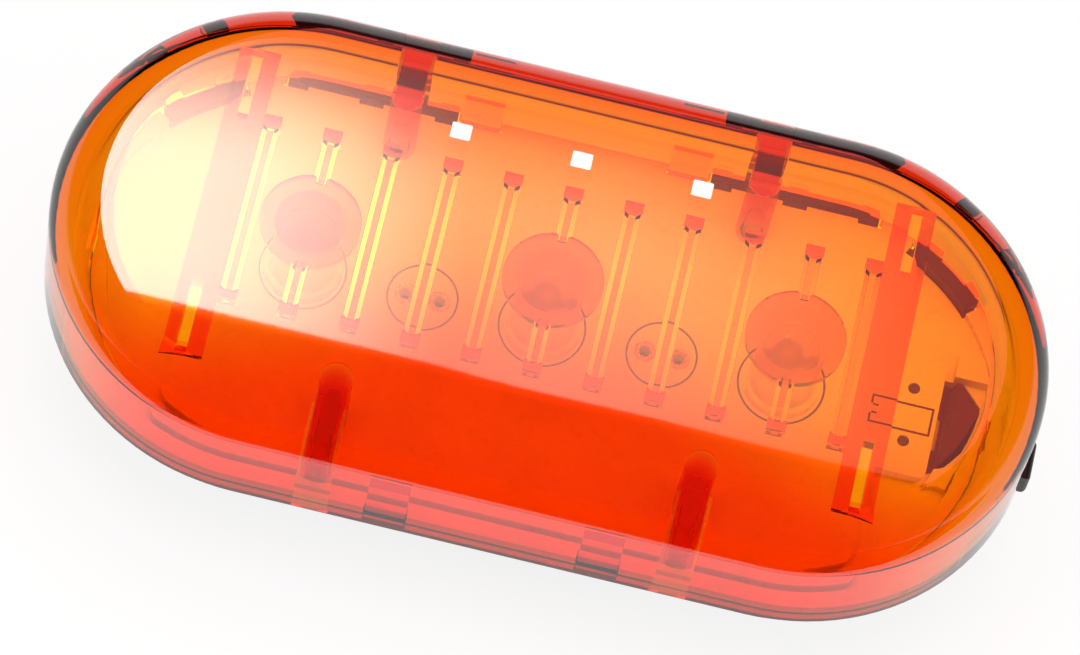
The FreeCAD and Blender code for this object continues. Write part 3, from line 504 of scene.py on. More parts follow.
def resistor_glaze(which: str, middle_mm: float) -> Terminated:
    """Glazed black face of a chip resistor between tinned ends."""
    return Terminated(f"resistor_glaze_{which}", "#17181A", "#1F2022", 0.35, 0.06, 1.55, grain_mm=0.1,
                      grain_depth_mm=0.003, middle_mm=middle_mm, half_body_mm=0.66)


def vinyl_jacket(which: str, *bands_mm: Pair) -> Jacket:
    """Dark shrunk vinyl with brass-coloured bands, under a thin clear print coat."""
    return Jacket(f"printed_vinyl_{which}", "#20242A", "#262B33", 0.34, 0.05, 1.5, coat=0.3, grain_mm=0.5,
                  grain_depth_mm=0.003, bands_mm=bands_mm)


class Finishes(Enum):
    """Every finish of the light."""

    # Dyed polycarbonate, mould-polished: orange where thin, dark red edge-on, with painted shade along the
    # near side.
    LENS = AmberPolycarbonate()
    # Milky cast epoxy: a round, pale lens that blurs the lead frame inside.
    EPOXY_CLEAR = ClearEpoxy()
    # ABS with a spark-eroded mould texture, drawn coarser than it is so that it shows: satin black that
    # breaks up highlights.
    CASE = Solid("black_abs_textured", "#161616", "#1C1B1A", 0.5, 0.1, 1.53, grain_mm=0.16,
                 grain_depth_mm=0.012)
    # Smooth moulded thermoplastic elastomer: soft sheen, nearly black.
    BUTTON = Solid("black_elastomer", "#151515", "#1B1B1B", 0.42, 0.06, 1.5, grain_mm=0.12,
                   grain_depth_mm=0.006)
    # Polished white polystyrene: bright, clean reflector.
    FRAME = Solid("white_polystyrene", "#F2EFE8", "#ECE8DF", 0.3, 0.05, 1.59, grain_mm=1.6,
                  grain_depth_mm=0.004)
    # Fibreglass board under white solder mask: enamel-like gloss with a faint unevenness.
    BOARD = Solid("white_solder_mask", "#F1EFE9", "#ECE9E2", 0.3, 0.05, 1.55, grain_mm=0.9,
                  grain_depth_mm=0.004)
    # Ink printed on the board: thin, matt, nearly black.
    BOARD_INK = Solid("black_legend_ink", "#1A1613", "#231D19", 0.6, 0.05, 1.5, grain_mm=0.1,
                      grain_depth_mm=0.002)
    # Nickel-plated spring steel, drawn or stamped: bright, with a fine unevenness.
    NICKEL = Solid("nickel_plated_steel", "#C6C2B8", "#B4AFA4", 0.26, 0.08, metallic=1.0, grain_mm=0.1,
                   grain_depth_mm=0.003)
    # Zinc flake baked on the screws: matt, pale grey.
    ZINC = Solid("zinc_flake_coating", "#DADBDC", "#CBCDCF", 0.6, 0.1, 1.5, grain_mm=0.12,
                 grain_depth_mm=0.004)
    # Silver on the lead frames: pale and even, and a little matt.
    SILVER = Solid("silver_plated_frame", "#EFEBE2", "#E4DFD4", 0.6, 0.05, metallic=1.0, grain_mm=0.1,
                   grain_depth_mm=0.002)
    # Tin on leads, pads and solder joints: silver, a little cloudy.
    TIN = Solid("bright_tin", "#CFCFCB", "#B7B7B4", 0.28, 0.08, metallic=1.0, grain_mm=0.2,
                grain_depth_mm=0.004)
    # Copper tracks under the white mask: the same enamel, a shade darker where the copper lies.
    TRACKS = Solid("masked_copper_tracks", "#DFDCCF", "#D8D5C7", 0.3, 0.05, 1.55, grain_mm=0.9,
                   grain_depth_mm=0.004)
    # Phosphor over the crystal in the cup of an LED: a dull yellow drop.
    CRYSTAL = Solid("led_crystal", "#C9A640", "#B8942F", 0.4, 0.05, 1.7, grain_mm=0.05,
                    grain_depth_mm=0.002)
    # Moulded black epoxy of the chip: dull black, with bright tinned legs at both sides.
    CHIP = Terminated("moulded_chip_epoxy", "#1B1C1E", "#232426", 0.6, 0.08, 1.5, grain_mm=0.08,
                      grain_depth_mm=0.005, middle_mm=-4.5, half_body_mm=1.52)
    # Fired ceramic of a chip capacitor: a light brown block between bright tinned ends.
    CERAMIC = Terminated("fired_capacitor_ceramic", "#A5835C", "#B18E66", 0.45, 0.08, 1.6, grain_mm=0.15,
                         grain_depth_mm=0.003, middle_mm=-13.5, half_body_mm=0.62)
    # Glazed black face of the chip resistors between tinned ends: three small bright-ended blocks.
    RESISTOR_1 = resistor_glaze("first", 4.5)
    RESISTOR_2 = resistor_glaze("second", 13.5)
    RESISTOR_3 = resistor_glaze("third", 22.5)
    # Glass-filled nylon of the switch housing: satin black with a fine grain.
    NYLON = Solid("black_nylon", "#1A1A1B", "#202022", 0.48, 0.1, 1.53, grain_mm=0.12,
                  grain_depth_mm=0.006)
    # Natural acetal of the switch plunger: waxy white.
    ACETAL = Solid("white_acetal", "#E9E6DC", "#E0DCD0", 0.36, 0.05, 1.48, grain_mm=0.3,
                   grain_depth_mm=0.003)
    # Screen ink printed on the lens: thin, opaque, satin white.
    INK = Solid("white_screen_ink", "#F6F4F0", "#F1EEE8", 0.45, 0.06, 1.5, grain_mm=0.12,
                grain_depth_mm=0.003)
    # Shrunk vinyl round the cells: satin and dark, with brass-coloured bands near the positive end.
    JACKET_UPPER = vinyl_jacket("upper", (12.6, 21.0), (10.6, 11.4))
    JACKET_LOWER = vinyl_jacket("lower", (-22.2, -13.8), (-12.6, -11.8))
    # Pressed fibre ring that insulates the positive end of a cell: matt and off-white.
    FIBRE = Solid("white_fibre_ring", "#DAD6CA", "#CFCABC", 0.75, 0.05, 1.5, grain_mm=0.1,
                  grain_depth_mm=0.006)


def dress(node: str, finish: Finishes) -> None:
    """Gives a CAD node its finish.

    Args:
        node: Name of the node.
        finish: Finish that it gets.
    """
    piece = FRAME["nodes"][node]
    piece.data.materials.clear()
    piece.data.materials.append(finish.value.material())
    LOG.info("dressed %s in %s", node, finish.value.name)


@dataclass
class Shape:
    """Collects the geometry of one new piece in millimetres, then puts it on its body."""

    name: str
    body: str
    slot: str
    finish: Finishes
    smooth_degrees: float = 35.0

    def __post_init__(self) -> None:
        """Starts an empty mesh."""
        self.mesh = bmesh.new()

    def prism(self, outline: Iterable[Pair], low: float, high: float, turn: Matrix | None = None) -> Shape:
        """Adds an outline drawn up from one height to another.

        Args:
            outline: Corners of the outline, counter-clockwise from above.
            low: Height of its lower face.
            high: Height of its upper face.
            turn: Placement that the finished prism gets.

        Returns:
            This shape.
        """
        flat = list(outline)
        rings = [[self.mesh.verts.new((x, y, z)) for x, y in flat] for z in (low, high)]
        self.mesh.faces.new(list(reversed(rings[0])))
        self.mesh.faces.new(rings[1])
        for index in range(len(flat)):
            after = (index + 1) % len(flat)
            self.mesh.faces.new((rings[0][index], rings[0][after], rings[1][after], rings[1][index]))
        if turn:
            bmesh.ops.transform(self.mesh, matrix=turn, verts=rings[0] + rings[1])
        return self

    def lathe(self, profile: Sequence[Pair], place: Matrix, segments: int = 64) -> Shape:
        """Adds a closed turned body.

        Args:
            profile: Radius and height of each point, from bottom to top; a radius of 0 closes an end, and a
                profile that ends where it starts makes a ring.
            place: Placement of the turned body.
            segments: Number of steps round it.

        Returns:
            This shape.
        """
        rings: list[list[bmesh.types.BMVert]] = []
        for radius, height in profile:
            if radius == 0:
                rings.append([self.mesh.verts.new((0, 0, height))] * segments)
                continue
            angles = [2 * math.pi * step / segments for step in range(segments)]
            circle = [(radius * math.cos(a), radius * math.sin(a), height) for a in angles]
            rings.append([self.mesh.verts.new(point) for point in circle])
        closed = profile[0][0] != 0
        pairs = list(zip(rings, rings[1:])) + ([(rings[-1], rings[0])] if closed else [])
        for lower, upper in pairs:
            for step in range(segments):
                after = (step + 1) % segments
                corners = list(dict.fromkeys((lower[step], lower[after], upper[after], upper[step])))
                self.mesh.faces.new(corners)
        bmesh.ops.transform(self.mesh, matrix=place, verts=list({v for ring in rings for v in ring}))
        return self

    def finish_piece(self) -> bpy.types.Object:
        """Makes the object, dresses it and puts it on its body.

        Returns:
            The finished piece.
        """
        bmesh.ops.scale(self.mesh, vec=(mm(1.0), mm(1.0), mm(1.0)), verts=self.mesh.verts)
        bmesh.ops.recalc_face_normals(self.mesh, faces=self.mesh.faces)
        limit = math.radians(self.smooth_degrees)
        for edge in self.mesh.edges:
            edge.smooth = len(edge.link_faces) == 2 and edge.calc_face_angle(0.0) < limit
        data = bpy.data.meshes.new(self.name)
        for face in self.mesh.faces:
            face.smooth = True
        self.mesh.to_mesh(data)
        self.mesh.free()
        data.materials.append(self.finish.value.material())
        piece = bpy.data.objects.new(self.name, data)
        bpy.context.scene.collection.objects.link(piece)
        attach(piece, self.body)
        LOG.info("built %s on %s in %s", self.name, self.body, self.finish.value.name)
        return piece


def at(x: float, y: float, z: float) -> Matrix:
    """Placement at a point, in millimetres."""
    return Matrix.Translation((x, y, z))


def raised(profile: Iterable[Pair], height: float) -> list[Pair]:
    """Moves a profile of radii and heights up."""
    return [(radius, up + height) for radius, up in profile]


def rounded(x0: float, x1: float, y0: float, y1: float, radius: float, steps: int = 5) -> list[Pair]:
    """Outline of a rectangle with rounded corners.

    Args:
        x0: Left side.
        x1: Right side.
        y0: Near side.
        y1: Far side.
        radius: Corner radius.
        steps: Points on each corner.

    Returns:
        Its corners, counter-clockwise.
    """
    centres = ((x1 - radius, y1 - radius, 0), (x0 + radius, y1 - radius, 1),
               (x0 + radius, y0 + radius, 2), (x1 - radius, y0 + radius, 3))
    outline = []
    for cx, cy, quarter in centres:
        for step in range(steps + 1):
            angle = math.pi / 2 * (quarter + step / steps)
            outline.append((cx + radius * math.cos(angle), cy + radius * math.sin(angle)))
    return outline


@dataclass
class Camera:
    """Long lens from above the near long side, rolled as in the photograph.

    Angles are in degrees and sizes in millimetres, and frame_width is what the picture spans at the target.
    """

    elevation: float = 64.0
    roll: float = 13.5
    distance: float = 500.0
    frame_width: float = 78.03
    sensor_width: float = 36.0
    clip_metres: Pair = (0.01, 20.0)
    image: Pair = (1080.0, 655.0)
    target: Point = (0.0, 0.0, 23.65)
    target_pixel: Pair = (552.3, 283.5)

    def build(self) -> None:
        """Places the camera so that the target falls on its pixel."""
        tilt, turn = math.radians(self.elevation), math.radians(self.roll)
        back = Vector((0.0, -math.cos(tilt), math.sin(tilt)))
        level_up = Vector((0.0, math.sin(tilt), math.cos(tilt)))
        along = Vector((1.0, 0.0, 0.0))
        right = along * math.cos(turn) + level_up * math.sin(turn)
        up = level_up * math.cos(turn) - along * math.sin(turn)
        scale = self.image[0] / self.frame_width
        off_right = (self.target_pixel[0] - self.image[0] / 2) / scale
        off_up = (self.image[1] / 2 - self.target_pixel[1]) / scale
        aim = Vector(self.target) - right * off_right - up * off_up
        data = bpy.data.cameras.new("long_lens")
        data.sensor_width = self.sensor_width
        data.lens = self.sensor_width * self.distance / self.frame_width
        data.clip_start, data.clip_end = self.clip_metres
        camera = bpy.data.objects.new("camera", data)
        bpy.context.scene.collection.objects.link(camera)
        place = (aim + back * self.distance) * mm(1.0)
        camera.matrix_world = Matrix.Translation(place) @ Matrix((right, up, back)).transposed().to_4x4()
        bpy.context.scene.camera = camera


@dataclass
class Studio:
    """Pale table, softbox over the far side with its hot end at the left, and lamps above and at the sides.

    Sizes are in millimetres. The glows of the softbox run from where they are full to where they are gone.
    """

    # Softbox: its edges, its white glow, the faint white and red all over it, and its warm glow
    softbox_x: Pair = (-140.0, 140.0)
    softbox_y: Pair = (312.0, 1800.0)
    softbox_height: float = 700.0
    hot: float = 9.5
    hot_x: Pair = (-66.0, -12.0)
    mild: float = 2.3
    mild_x: Pair = (0.0, 75.0)
    white_y: Pair = (340.0, 374.0)
    rest: float = 0.5
    rest_red: float = 2.0
    warm: float = 0.8
    warm_red: float = 0.6
    warm_right_x: Pair = (45.0, 80.0)
    warm_left_x: Pair = (-30.0, -75.0)
    warm_y: Pair = (325.0, 375.0)

    # Flag: its near edge and its far one, each across the light and up
    flag_edges: tuple[Pair, Pair] = ((-36.0, 1.0), (-600.0, 180.0))
    flag_half_width: float = 500.0
    flag_colour: str = "#0C0C0C"

    # Lamps
    lamp_size: float = 800.0
    top: float = 4.2
    top_place: Point = (0.0, 0.0, 1000.0)
    fill: float = 2.4
    fill_places: tuple[Point, Point] = ((-900.0, -200.0, 600.0), (900.0, -200.0, 600.0))

    # Room, whose walls fade into the ceiling as the view rises, and table
    horizon: float = 0.95
    ceiling: float = 0.03
    wall_rise: Pair = (0.08, 0.25)
    white: str = "#FFFFFF"
    floor_colour: str = "#F4F4F3"
    floor_glow: float = 0.85
    floor_half_width: float = 4000.0

    @staticmethod
    def card(name: str, finish: str, corners: Sequence[Point],
             shader: Callable[[Tree], bpy.types.Node]) -> bpy.types.Object:
        """Adds a flat four-cornered thing of the studio.

        Args:
            name: Its name.
            finish: Name of its material.
            corners: Its corners in millimetres.
            shader: Makes the shader of its surface.

        Returns:
            The new object.
        """
        mesh = bpy.data.meshes.new(name)
        mesh.from_pydata([[mm(c) for c in corner] for corner in corners], [], [tuple(range(len(corners)))])
        card = bpy.data.objects.new(name, mesh)
        bpy.context.scene.collection.objects.link(card)
        material = bpy.data.materials.new(finish)
        material.use_nodes = True
        tree = material.node_tree
        tree.nodes.clear()
        add_node(tree, "ShaderNodeOutputMaterial", None, {"Surface": shader(tree).outputs[0]})
        mesh.materials.append(material)
        return card

    @staticmethod
    def fading(tree: Tree, axis: str, ends: Pair, full: float = 1.0) -> Socket:
        """Fades a glow out along an axis.

        Args:
            tree: Node tree of the card.
            axis: Axis of the fading, x or y.
            ends: Where the glow is full, and where it is gone.
            full: Strength of the full glow.

        Returns:
            The strength of each point.
        """
        faded = add_node(tree, "ShaderNodeMapRange",
                         {"interpolation_type": "SMOOTHSTEP", "From Min": mm(ends[0]),
                          "From Max": mm(ends[1]), "To Min": full, "To Max": 0.0},
                         {"Value": Finish.place(tree)[axis]})
        return faded.outputs["Result"]

    def softbox_white(self, tree: Tree) -> Socket:
        """Hot at the left and mild in the middle, with a faint rest at the far side."""
        both = add_node(tree, "ShaderNodeMath", {"operation": "ADD"},
                        {0: self.fading(tree, "x", self.hot_x, self.hot),
                         1: self.fading(tree, "x", self.mild_x, self.mild)})
        return add_node(tree, "ShaderNodeMath", {"operation": "MULTIPLY_ADD", 2: self.rest},
                        {0: both.outputs[0], 1: self.fading(tree, "y", self.white_y)}).outputs[0]

    def softbox_warm(self, tree: Tree) -> Socket:
        """Warm glow of the middle, which fades to the left, the right and the far side."""
        sides = add_node(tree, "ShaderNodeMath", {"operation": "MULTIPLY"},
                         {0: self.fading(tree, "x", self.warm_right_x, self.warm),
                          1: self.fading(tree, "x", self.warm_left_x)})
        return add_node(tree, "ShaderNodeMath", {"operation": "MULTIPLY"},
                        {0: sides.outputs[0], 1: self.fading(tree, "y", self.warm_y)}).outputs[0]

    def softbox_glow(self, tree: Tree) -> bpy.types.Node:
        """Light of the softbox: white, with warm light in the middle and a red ground all over.

        Args:
            tree: Node tree of the card.

        Returns:
            The emission.
        """
        white, warm = self.softbox_white(tree), self.softbox_warm(tree)
        red = add_node(tree, "ShaderNodeMath", {"operation": "MULTIPLY_ADD", 1: self.warm_red},
                       {0: warm, 2: white})
        redder = add_node(tree, "ShaderNodeMath", {"operation": "ADD", 1: self.rest_red},
                          {0: red.outputs[0]})
        green = add_node(tree, "ShaderNodeMath", {"operation": "ADD"}, {0: warm, 1: white})
        light = add_node(tree, "ShaderNodeCombineXYZ", None,
                         {0: redder.outputs[0], 1: green.outputs[0], 2: white})
        return add_node(tree, "ShaderNodeEmission", {"Strength": 1.0}, {"Color": light.outputs[0]})

    def softbox(self) -> None:
        """Large glowing card over the far side, which the camera itself doesn't see."""
        (left, right), (near, far), height = self.softbox_x, self.softbox_y, self.softbox_height
        corners = ((left, near, height), (left, far, height), (right, far, height), (right, near, height))
        card = self.card("softbox", "softbox_cloth", corners, self.softbox_glow)
        card.visible_camera = False

    def lamp(self, name: str, place: Point, strength: float) -> None:
        """Adds a square lamp aimed at the light.

        Args:
            name: Name of the lamp.
            place: Its centre in millimetres.
            strength: Radiance that it shows, where 1 is white.
        """
        data = bpy.data.lights.new(name, "AREA")
        data.shape = "RECTANGLE"
        data.size = data.size_y = mm(self.lamp_size)
        data.energy = strength * math.pi * data.size * data.size_y
        lamp = bpy.data.objects.new(name, data)
        bpy.context.scene.collection.objects.link(lamp)
        lamp.location = [mm(c) for c in place]
        lamp.rotation_euler = (-lamp.location).to_track_quat("-Z", "Y").to_euler()
        lamp.visible_glossy = False
        lamp.visible_transmission = False

    def floor_shader(self, tree: Tree) -> bpy.types.Node:
        """White glow for what is seen, mixed with a matt surface that takes the shadow.

        Args:
            tree: Node tree of the table.

        Returns:
            The mix.
        """
        matt = add_node(tree, "ShaderNodeBsdfDiffuse", {"Color": linear(self.floor_colour)})
        white = add_node(tree, "ShaderNodeEmission", {"Color": linear(self.white), "Strength": 1.0})
        path = add_node(tree, "ShaderNodeLightPath").outputs
        seen = path["Is Camera Ray"]
        for also in ("Is Glossy Ray", "Is Transmission Ray"):
            seen = add_node(tree, "ShaderNodeMath", {"operation": "MAXIMUM"},
                            {0: seen, 1: path[also]}).outputs[0]
        share = add_node(tree, "ShaderNodeMath", {"operation": "MULTIPLY", 1: self.floor_glow}, {0: seen})
        return add_node(tree, "ShaderNodeMixShader", None,
                        {0: share.outputs[0], 1: matt.outputs[0], 2: white.outputs[0]})

    def floor(self) -> None:
        """Pale table that keeps the light's shadow."""
        half = self.floor_half_width
        corners = ((-half, -half, 0), (half, -half, 0), (half, half, 0), (-half, half, 0))
        table = self.card("table", "white_table", corners, self.floor_shader)

    def flag(self) -> None:
        """Black card in front of the near side, which only the gloss of the light shows."""
        (near, low), (far, high) = self.flag_edges
        half = self.flag_half_width
        corners = ((-half, near, low), (half, near, low), (half, far, high), (-half, far, high))
        card = self.card("flag", "black_velvet_flag", corners,
                         lambda tree: add_node(tree, "ShaderNodeBsdfDiffuse",
                                               {"Color": linear(self.flag_colour)}))
        card.visible_camera = card.visible_diffuse = card.visible_transmission = card.visible_shadow = False

    def room(self) -> None:
        """Pale walls near the horizon under a dark ceiling."""
        world = bpy.data.worlds.new("room")
        bpy.context.scene.world = world
        world.use_nodes = True
        tree = world.node_tree
        tree.nodes.clear()
        direction = add_node(tree, "ShaderNodeTexCoord").outputs["Generated"]
        rise = add_node(tree, "ShaderNodeSeparateXYZ", None, {0: direction}).outputs["Z"]
        level = add_node(tree, "ShaderNodeMapRange",
                         {"interpolation_type": "SMOOTHSTEP", "From Min": self.wall_rise[0],
                          "From Max": self.wall_rise[1], "To Min": self.horizon, "To Max": self.ceiling},
                         {"Value": rise})
        glow = add_node(tree, "ShaderNodeBackground", {"Color": linear(self.white)},
                        {"Strength": level.outputs["Result"]})
        add_node(tree, "ShaderNodeOutputWorld", None, {"Surface": glow.outputs[0]})

    def build(self) -> None:
        """Sets up the whole studio."""
        self.softbox()
        self.lamp("top_fill", self.top_place, self.top)
        for name, place in zip(("left_fill", "right_fill"), self.fill_places):
            self.lamp(name, place, self.fill)
        self.floor()
        self.flag()
        self.room()
        bpy.context.scene.view_settings.view_transform = "Standard"


@dataclass
class Led:
    """Five-millimetre LED rebuilt as its body, lead frame and crystal; its heights are above the board."""

    node: str
    x: float = field(init=False)
    height: float = field(init=False)
    board_top: float = field(init=False)
    board_back: float = field(init=False)
    radius: float = 2.5
    flange_radius: float = 2.9
    flange_height: float = 1.0
    rounding: float = 0.12
    flat_play: float = 0.01
    dome_steps: int = 16

    # Leads: the anvil carries the cup, the post stands beside it; barb and head key the post in the epoxy
    lead_step: float = 1.27
    lead_half: float = 0.24
    lead_stub: float = 0.85
    shank_top: float = 2.2
    anvil_x: Pair = (-1.25, 0.95)
    anvil_neck: tuple[float, Pair, float] = (3.0, (0.3, 3.4), 3.9)
    anvil_below_rim: float = 0.7
    barb: float = 0.25
    barb_z: tuple[float, ...] = (2.1, 2.3, 2.9, 3.2)
    head: float = 0.1
    head_z: tuple[float, float, float] = (3.9, 4.1, 4.4)

    # Cup and drop: radius and height of each point, from the cup's rim and from its floor
    cup_x: float = -0.15
    cup_rim: float = 4.6
    cup_floor: float = 4.1
    cup: tuple[Pair, ...] = ((0.0, -0.75), (0.7, -0.75), (0.85, -0.05), (0.81, 0.0), (0.73, -0.02),
                             (0.36, -0.5), (0.0, -0.5))
    drop: tuple[Pair, ...] = ((0.0, 0.0), (0.34, 0.0), (0.5, 0.16), (0.42, 0.24), (0.2, 0.3), (0.0, 0.32))

    def __post_init__(self) -> None:
        """Takes its place from its node and the board."""
        low, high = box_mm(self.node)
        board_low, board_high = box_mm("circuit_board")
        self.board_back, self.board_top = board_low[2], board_high[2]
        self.x = low[0] + self.radius
        self.height = high[2] - self.board_top

    def build(self) -> None:
        """Builds the three pieces."""
        self.body().finish_piece()
        self.lead_frame().finish_piece()
        self.crystal().finish_piece()

    def body(self) -> Shape:
        """Flange with its flat, shaft and dome, as one closed skin.

        Returns:
            The body's shape.
        """
        dome = self.height - self.radius
        flange, edge = self.flange_radius, self.flange_radius - self.rounding
        profile = [(0.0, 0.0), (edge, 0.0), (flange, self.rounding),
                   (flange, self.flange_height - self.rounding), (edge, self.flange_height),
                   (self.radius, self.flange_height)]
        for step in range(self.dome_steps):
            angle = math.pi / 2 * step / self.dome_steps
            profile.append((self.radius * math.cos(angle), dome + self.radius * math.sin(angle)))
        profile.append((0.0, self.height))
        shape = Shape(f"{self.node}_epoxy", "lens_body", "led_clear", Finishes.EPOXY_CLEAR)
        shape.lathe(profile, at(self.x, 0, self.board_top), 72)
        for vert in shape.mesh.verts:
            vert.co.x = max(vert.co.x, self.x - self.radius - self.flat_play)
        return shape

    def anvil_outline(self) -> list[Pair]:
        """Outline of the lead that widens into the seat of the cup.

        Returns:
            Its corners, seen from the near side.
        """
        foot = self.board_back - self.lead_stub - self.board_top
        outer, inner = -self.lead_step - self.lead_half, -self.lead_step + self.lead_half
        (left, right), (left_rise, bend, right_rise) = self.anvil_x, self.anvil_neck
        seat = self.cup_rim - self.anvil_below_rim
        return [(outer, foot), (inner, foot), (inner, self.shank_top), bend, (right, right_rise),
                (right, seat), (left, seat), (left, left_rise), (outer, self.shank_top)]

    def post_outline(self) -> list[Pair]:
        """Outline of the lead that stands beside the cup.

        Returns:
            Its corners, seen from the near side.
        """
        foot = self.board_back - self.lead_stub - self.board_top
        inner, outer = self.lead_step - self.lead_half, self.lead_step + self.lead_half
        barb, head = inner - self.barb, outer + self.head
        barb_foot, barb_low, barb_high, barb_end = self.barb_z
        head_foot, head_low, top = self.head_z
        return [(inner, foot), (outer, foot), (outer, head_foot), (head, head_low), (head, top), (inner, top),
                (inner, barb_end), (barb, barb_high), (barb, barb_low), (inner, barb_foot)]

    def lead_frame(self) -> Shape:
        """Two stamped leads, one with the cup.

        Returns:
            The lead frame's shape.
        """
        shape = Shape(f"{self.node}_lead_frame", "lens_body", "nickel", Finishes.SILVER)
        upright = at(self.x, 0, self.board_top) @ Matrix.Rotation(math.pi / 2, 4, "X")
        for outline in (self.anvil_outline(), self.post_outline()):
            shape.prism(outline, -self.lead_half, self.lead_half, upright)
        return shape.lathe(raised(self.cup, self.cup_rim), at(self.x + self.cup_x, 0, self.board_top), 40)

    def crystal(self) -> Shape:
        """Drop of phosphor over the crystal in the cup."""
        shape = Shape(f"{self.node}_crystal", "lens_body", "led_clear", Finishes.CRYSTAL)
        return shape.lathe(raised(self.drop, self.cup_floor), at(self.x + self.cup_x, 0, self.board_top), 24)


@dataclass
class BoardDetail:
    """Printing, pads, tracks and solder joints of the circuit board."""

    led_places: tuple[float, ...]
    top: float = field(init=False)
    back: float = field(init=False)

    # Printing and pads
    ink: float = 0.02
    line: float = 0.16
    line_corner: float = 0.3
    spare_places: tuple[float, ...] = (-9.0, 9.0)
    spare_ring_radius: float = 2.52
    led_ring_radius: float = 3.12
    switch_x: Pair = (24.7, 29.4)
    switch_y: Pair = (-1.4, 0.9)
    switch_arm: float = 0.75
    switch_tick: float = 0.6
    lead_step: float = 1.27
    pad_radius: float = 0.85
    pad_hole_radius: float = 0.46
    contact_pad_x: Pair = (23.6, 25.75)
    contact_pad_y: tuple[float, ...] = (-5.35, 5.35)
    contact_pad_half_width: float = 1.5
    contact_pad_corner: float = 0.4

    # Solder: cone round a lead, by radius and height; slope at a part's end, by reach and share of its rise
    cone: tuple[Pair, ...] = ((0.0, -0.72), (0.36, -0.7), (0.42, -0.5), (0.5, -0.3), (0.66, -0.12),
                              (0.84, -0.02), (0.84, 0.0), (0.0, 0.0))
    slope: tuple[Pair, ...] = ((0.0, 0.0), (0.55, 0.0), (0.3, 0.35), (0.12, 0.75), (0.0, 1.0))
    slope_rise: float = 0.42
    slope_half_width: float = 0.6
    leg_places: tuple[float, ...] = (-0.975, -0.325, 0.325, 0.975)
    leg_x: float = 2.05
    leg_pad_half: Pair = (0.55, 0.19)
    leg_pad_corner: float = 0.1

    # Copper tracks on the back, from bend to bend, each with its overlap in half widths
    track_half_width: float = 0.17
    track_overlap: float = 0.6
    track_rise: float = 0.012
    track_runs: tuple[tuple[Pair, ...], ...] = (
        ((-16.73, 0.0), (-15.2, 1.4), (-14.5, 1.4)), ((-12.4, 0.0), (-10.4, 0.0)),
        ((-7.0, -0.98), (-8.4, -2.2), (-18.0, -2.2), (-19.27, -1.0)), ((-2.2, 0.33), (-1.3, 0.33)),
        ((1.27, 0.0), (3.4, 0.0)), ((5.6, 0.0), (7.7, 0.0)), ((10.3, 0.0), (12.4, 0.0)),
        ((14.6, 0.0), (16.7, 0.0)), ((19.3, 0.0), (21.4, 0.0)), ((23.6, 0.3), (24.4, 1.2), (24.4, 4.0)),
        ((-7.0, 0.98), (-8.6, 3.2), (22.0, 3.2), (23.4, 4.6)),
        ((-2.0, -0.98), (-1.0, -3.0), (22.4, -3.0), (23.6, -4.2)))

    def __post_init__(self) -> None:
        """Takes its heights from the board."""
        low, high = box_mm("circuit_board")
        self.back, self.top = low[2], high[2]

    @staticmethod
    def ring(shape: Shape, x: float, outer: float, inner: float, low: float, high: float) -> None:
        """Adds a flat ring on the middle line.

        Args:
            shape: Shape that gets it.
            x: Its centre along the light.
            outer: Outer radius.
            inner: Inner radius.
            low: Height of its lower face.
            high: Height of its upper face.
        """
        shape.lathe([(inner, low), (outer, low), (outer, high), (inner, high)], at(x, 0, 0), 56)

    def build(self) -> None:
        """Builds every detail of the board."""
        self.legend()
        self.pads()
        self.joints()
        self.tracks()

    def legend(self) -> None:
        """Rings at the spare places and round the LEDs, and the outline of the switch."""
        shape = Shape("board_legend", "lens_body", "chip_black", Finishes.BOARD_INK)
        high, line = self.top + self.ink, self.line
        for radius, places in ((self.spare_ring_radius, self.spare_places),
                               (self.led_ring_radius, self.led_places)):
            for x in places:
                self.ring(shape, x, radius + line, radius, self.top, high)
        (left, right), (near, far) = self.switch_x, self.switch_y
        arm, tick = self.switch_arm, self.switch_tick
        bars = [(left, right, near, near + line), (left, right, far - line, far),
                (right - line, right, near + line, far - line),
                (left, left + line, near + line, near + arm), (left, left + line, far - arm, far - line),
                (left + line, left + tick, near + arm, near + arm + line),
                (left + line, left + tick, far - arm - line, far - arm)]
        for x0, x1, y0, y1 in bars:
            shape.prism(rounded(x0, x1, y0, y1, line * self.line_corner, 2), self.top, high)
        shape.finish_piece()

    def pads(self) -> None:
        """Tinned rings round the holes, and the two pads that the contact ears press on."""
        shape = Shape("board_pads", "lens_body", "nickel", Finishes.TIN)
        for x in self.led_places + self.spare_places:
            for side in (-1, 1):
                for low in (self.top, self.back - self.ink):
                    self.ring(shape, x + side * self.lead_step, self.pad_radius, self.pad_hole_radius, low,
                              low + self.ink)
        half = self.contact_pad_half_width
        for y in self.contact_pad_y:
            outline = rounded(*self.contact_pad_x, y - half, y + half, self.contact_pad_corner)
            shape.prism(outline, self.back - self.ink, self.back)
        shape.finish_piece()

    def joints(self) -> None:
        """Hollow-sided solder cones round the LED leads, and the solder at the small parts."""
        shape = Shape("solder_joints", "lens_body", "nickel", Finishes.TIN)
        for x in self.led_places:
            for side in (-1, 1):
                shape.lathe(self.cone, at(x + side * self.lead_step, 0, self.back), 32)
        for part in ("capacitor", "resistor_1", "resistor_2", "resistor_3"):
            low, high = box_mm(part)
            for x, side in ((low[0], -1), (high[0], 1)):
                self.end_slope(shape, x, side)
        low, high = box_mm("controller_chip")
        middle = (low[0] + high[0]) / 2
        for side in (-1, 1):
            for y in self.leg_places:
                self.leg_pad(shape, middle + side * self.leg_x, y)
        shape.finish_piece()

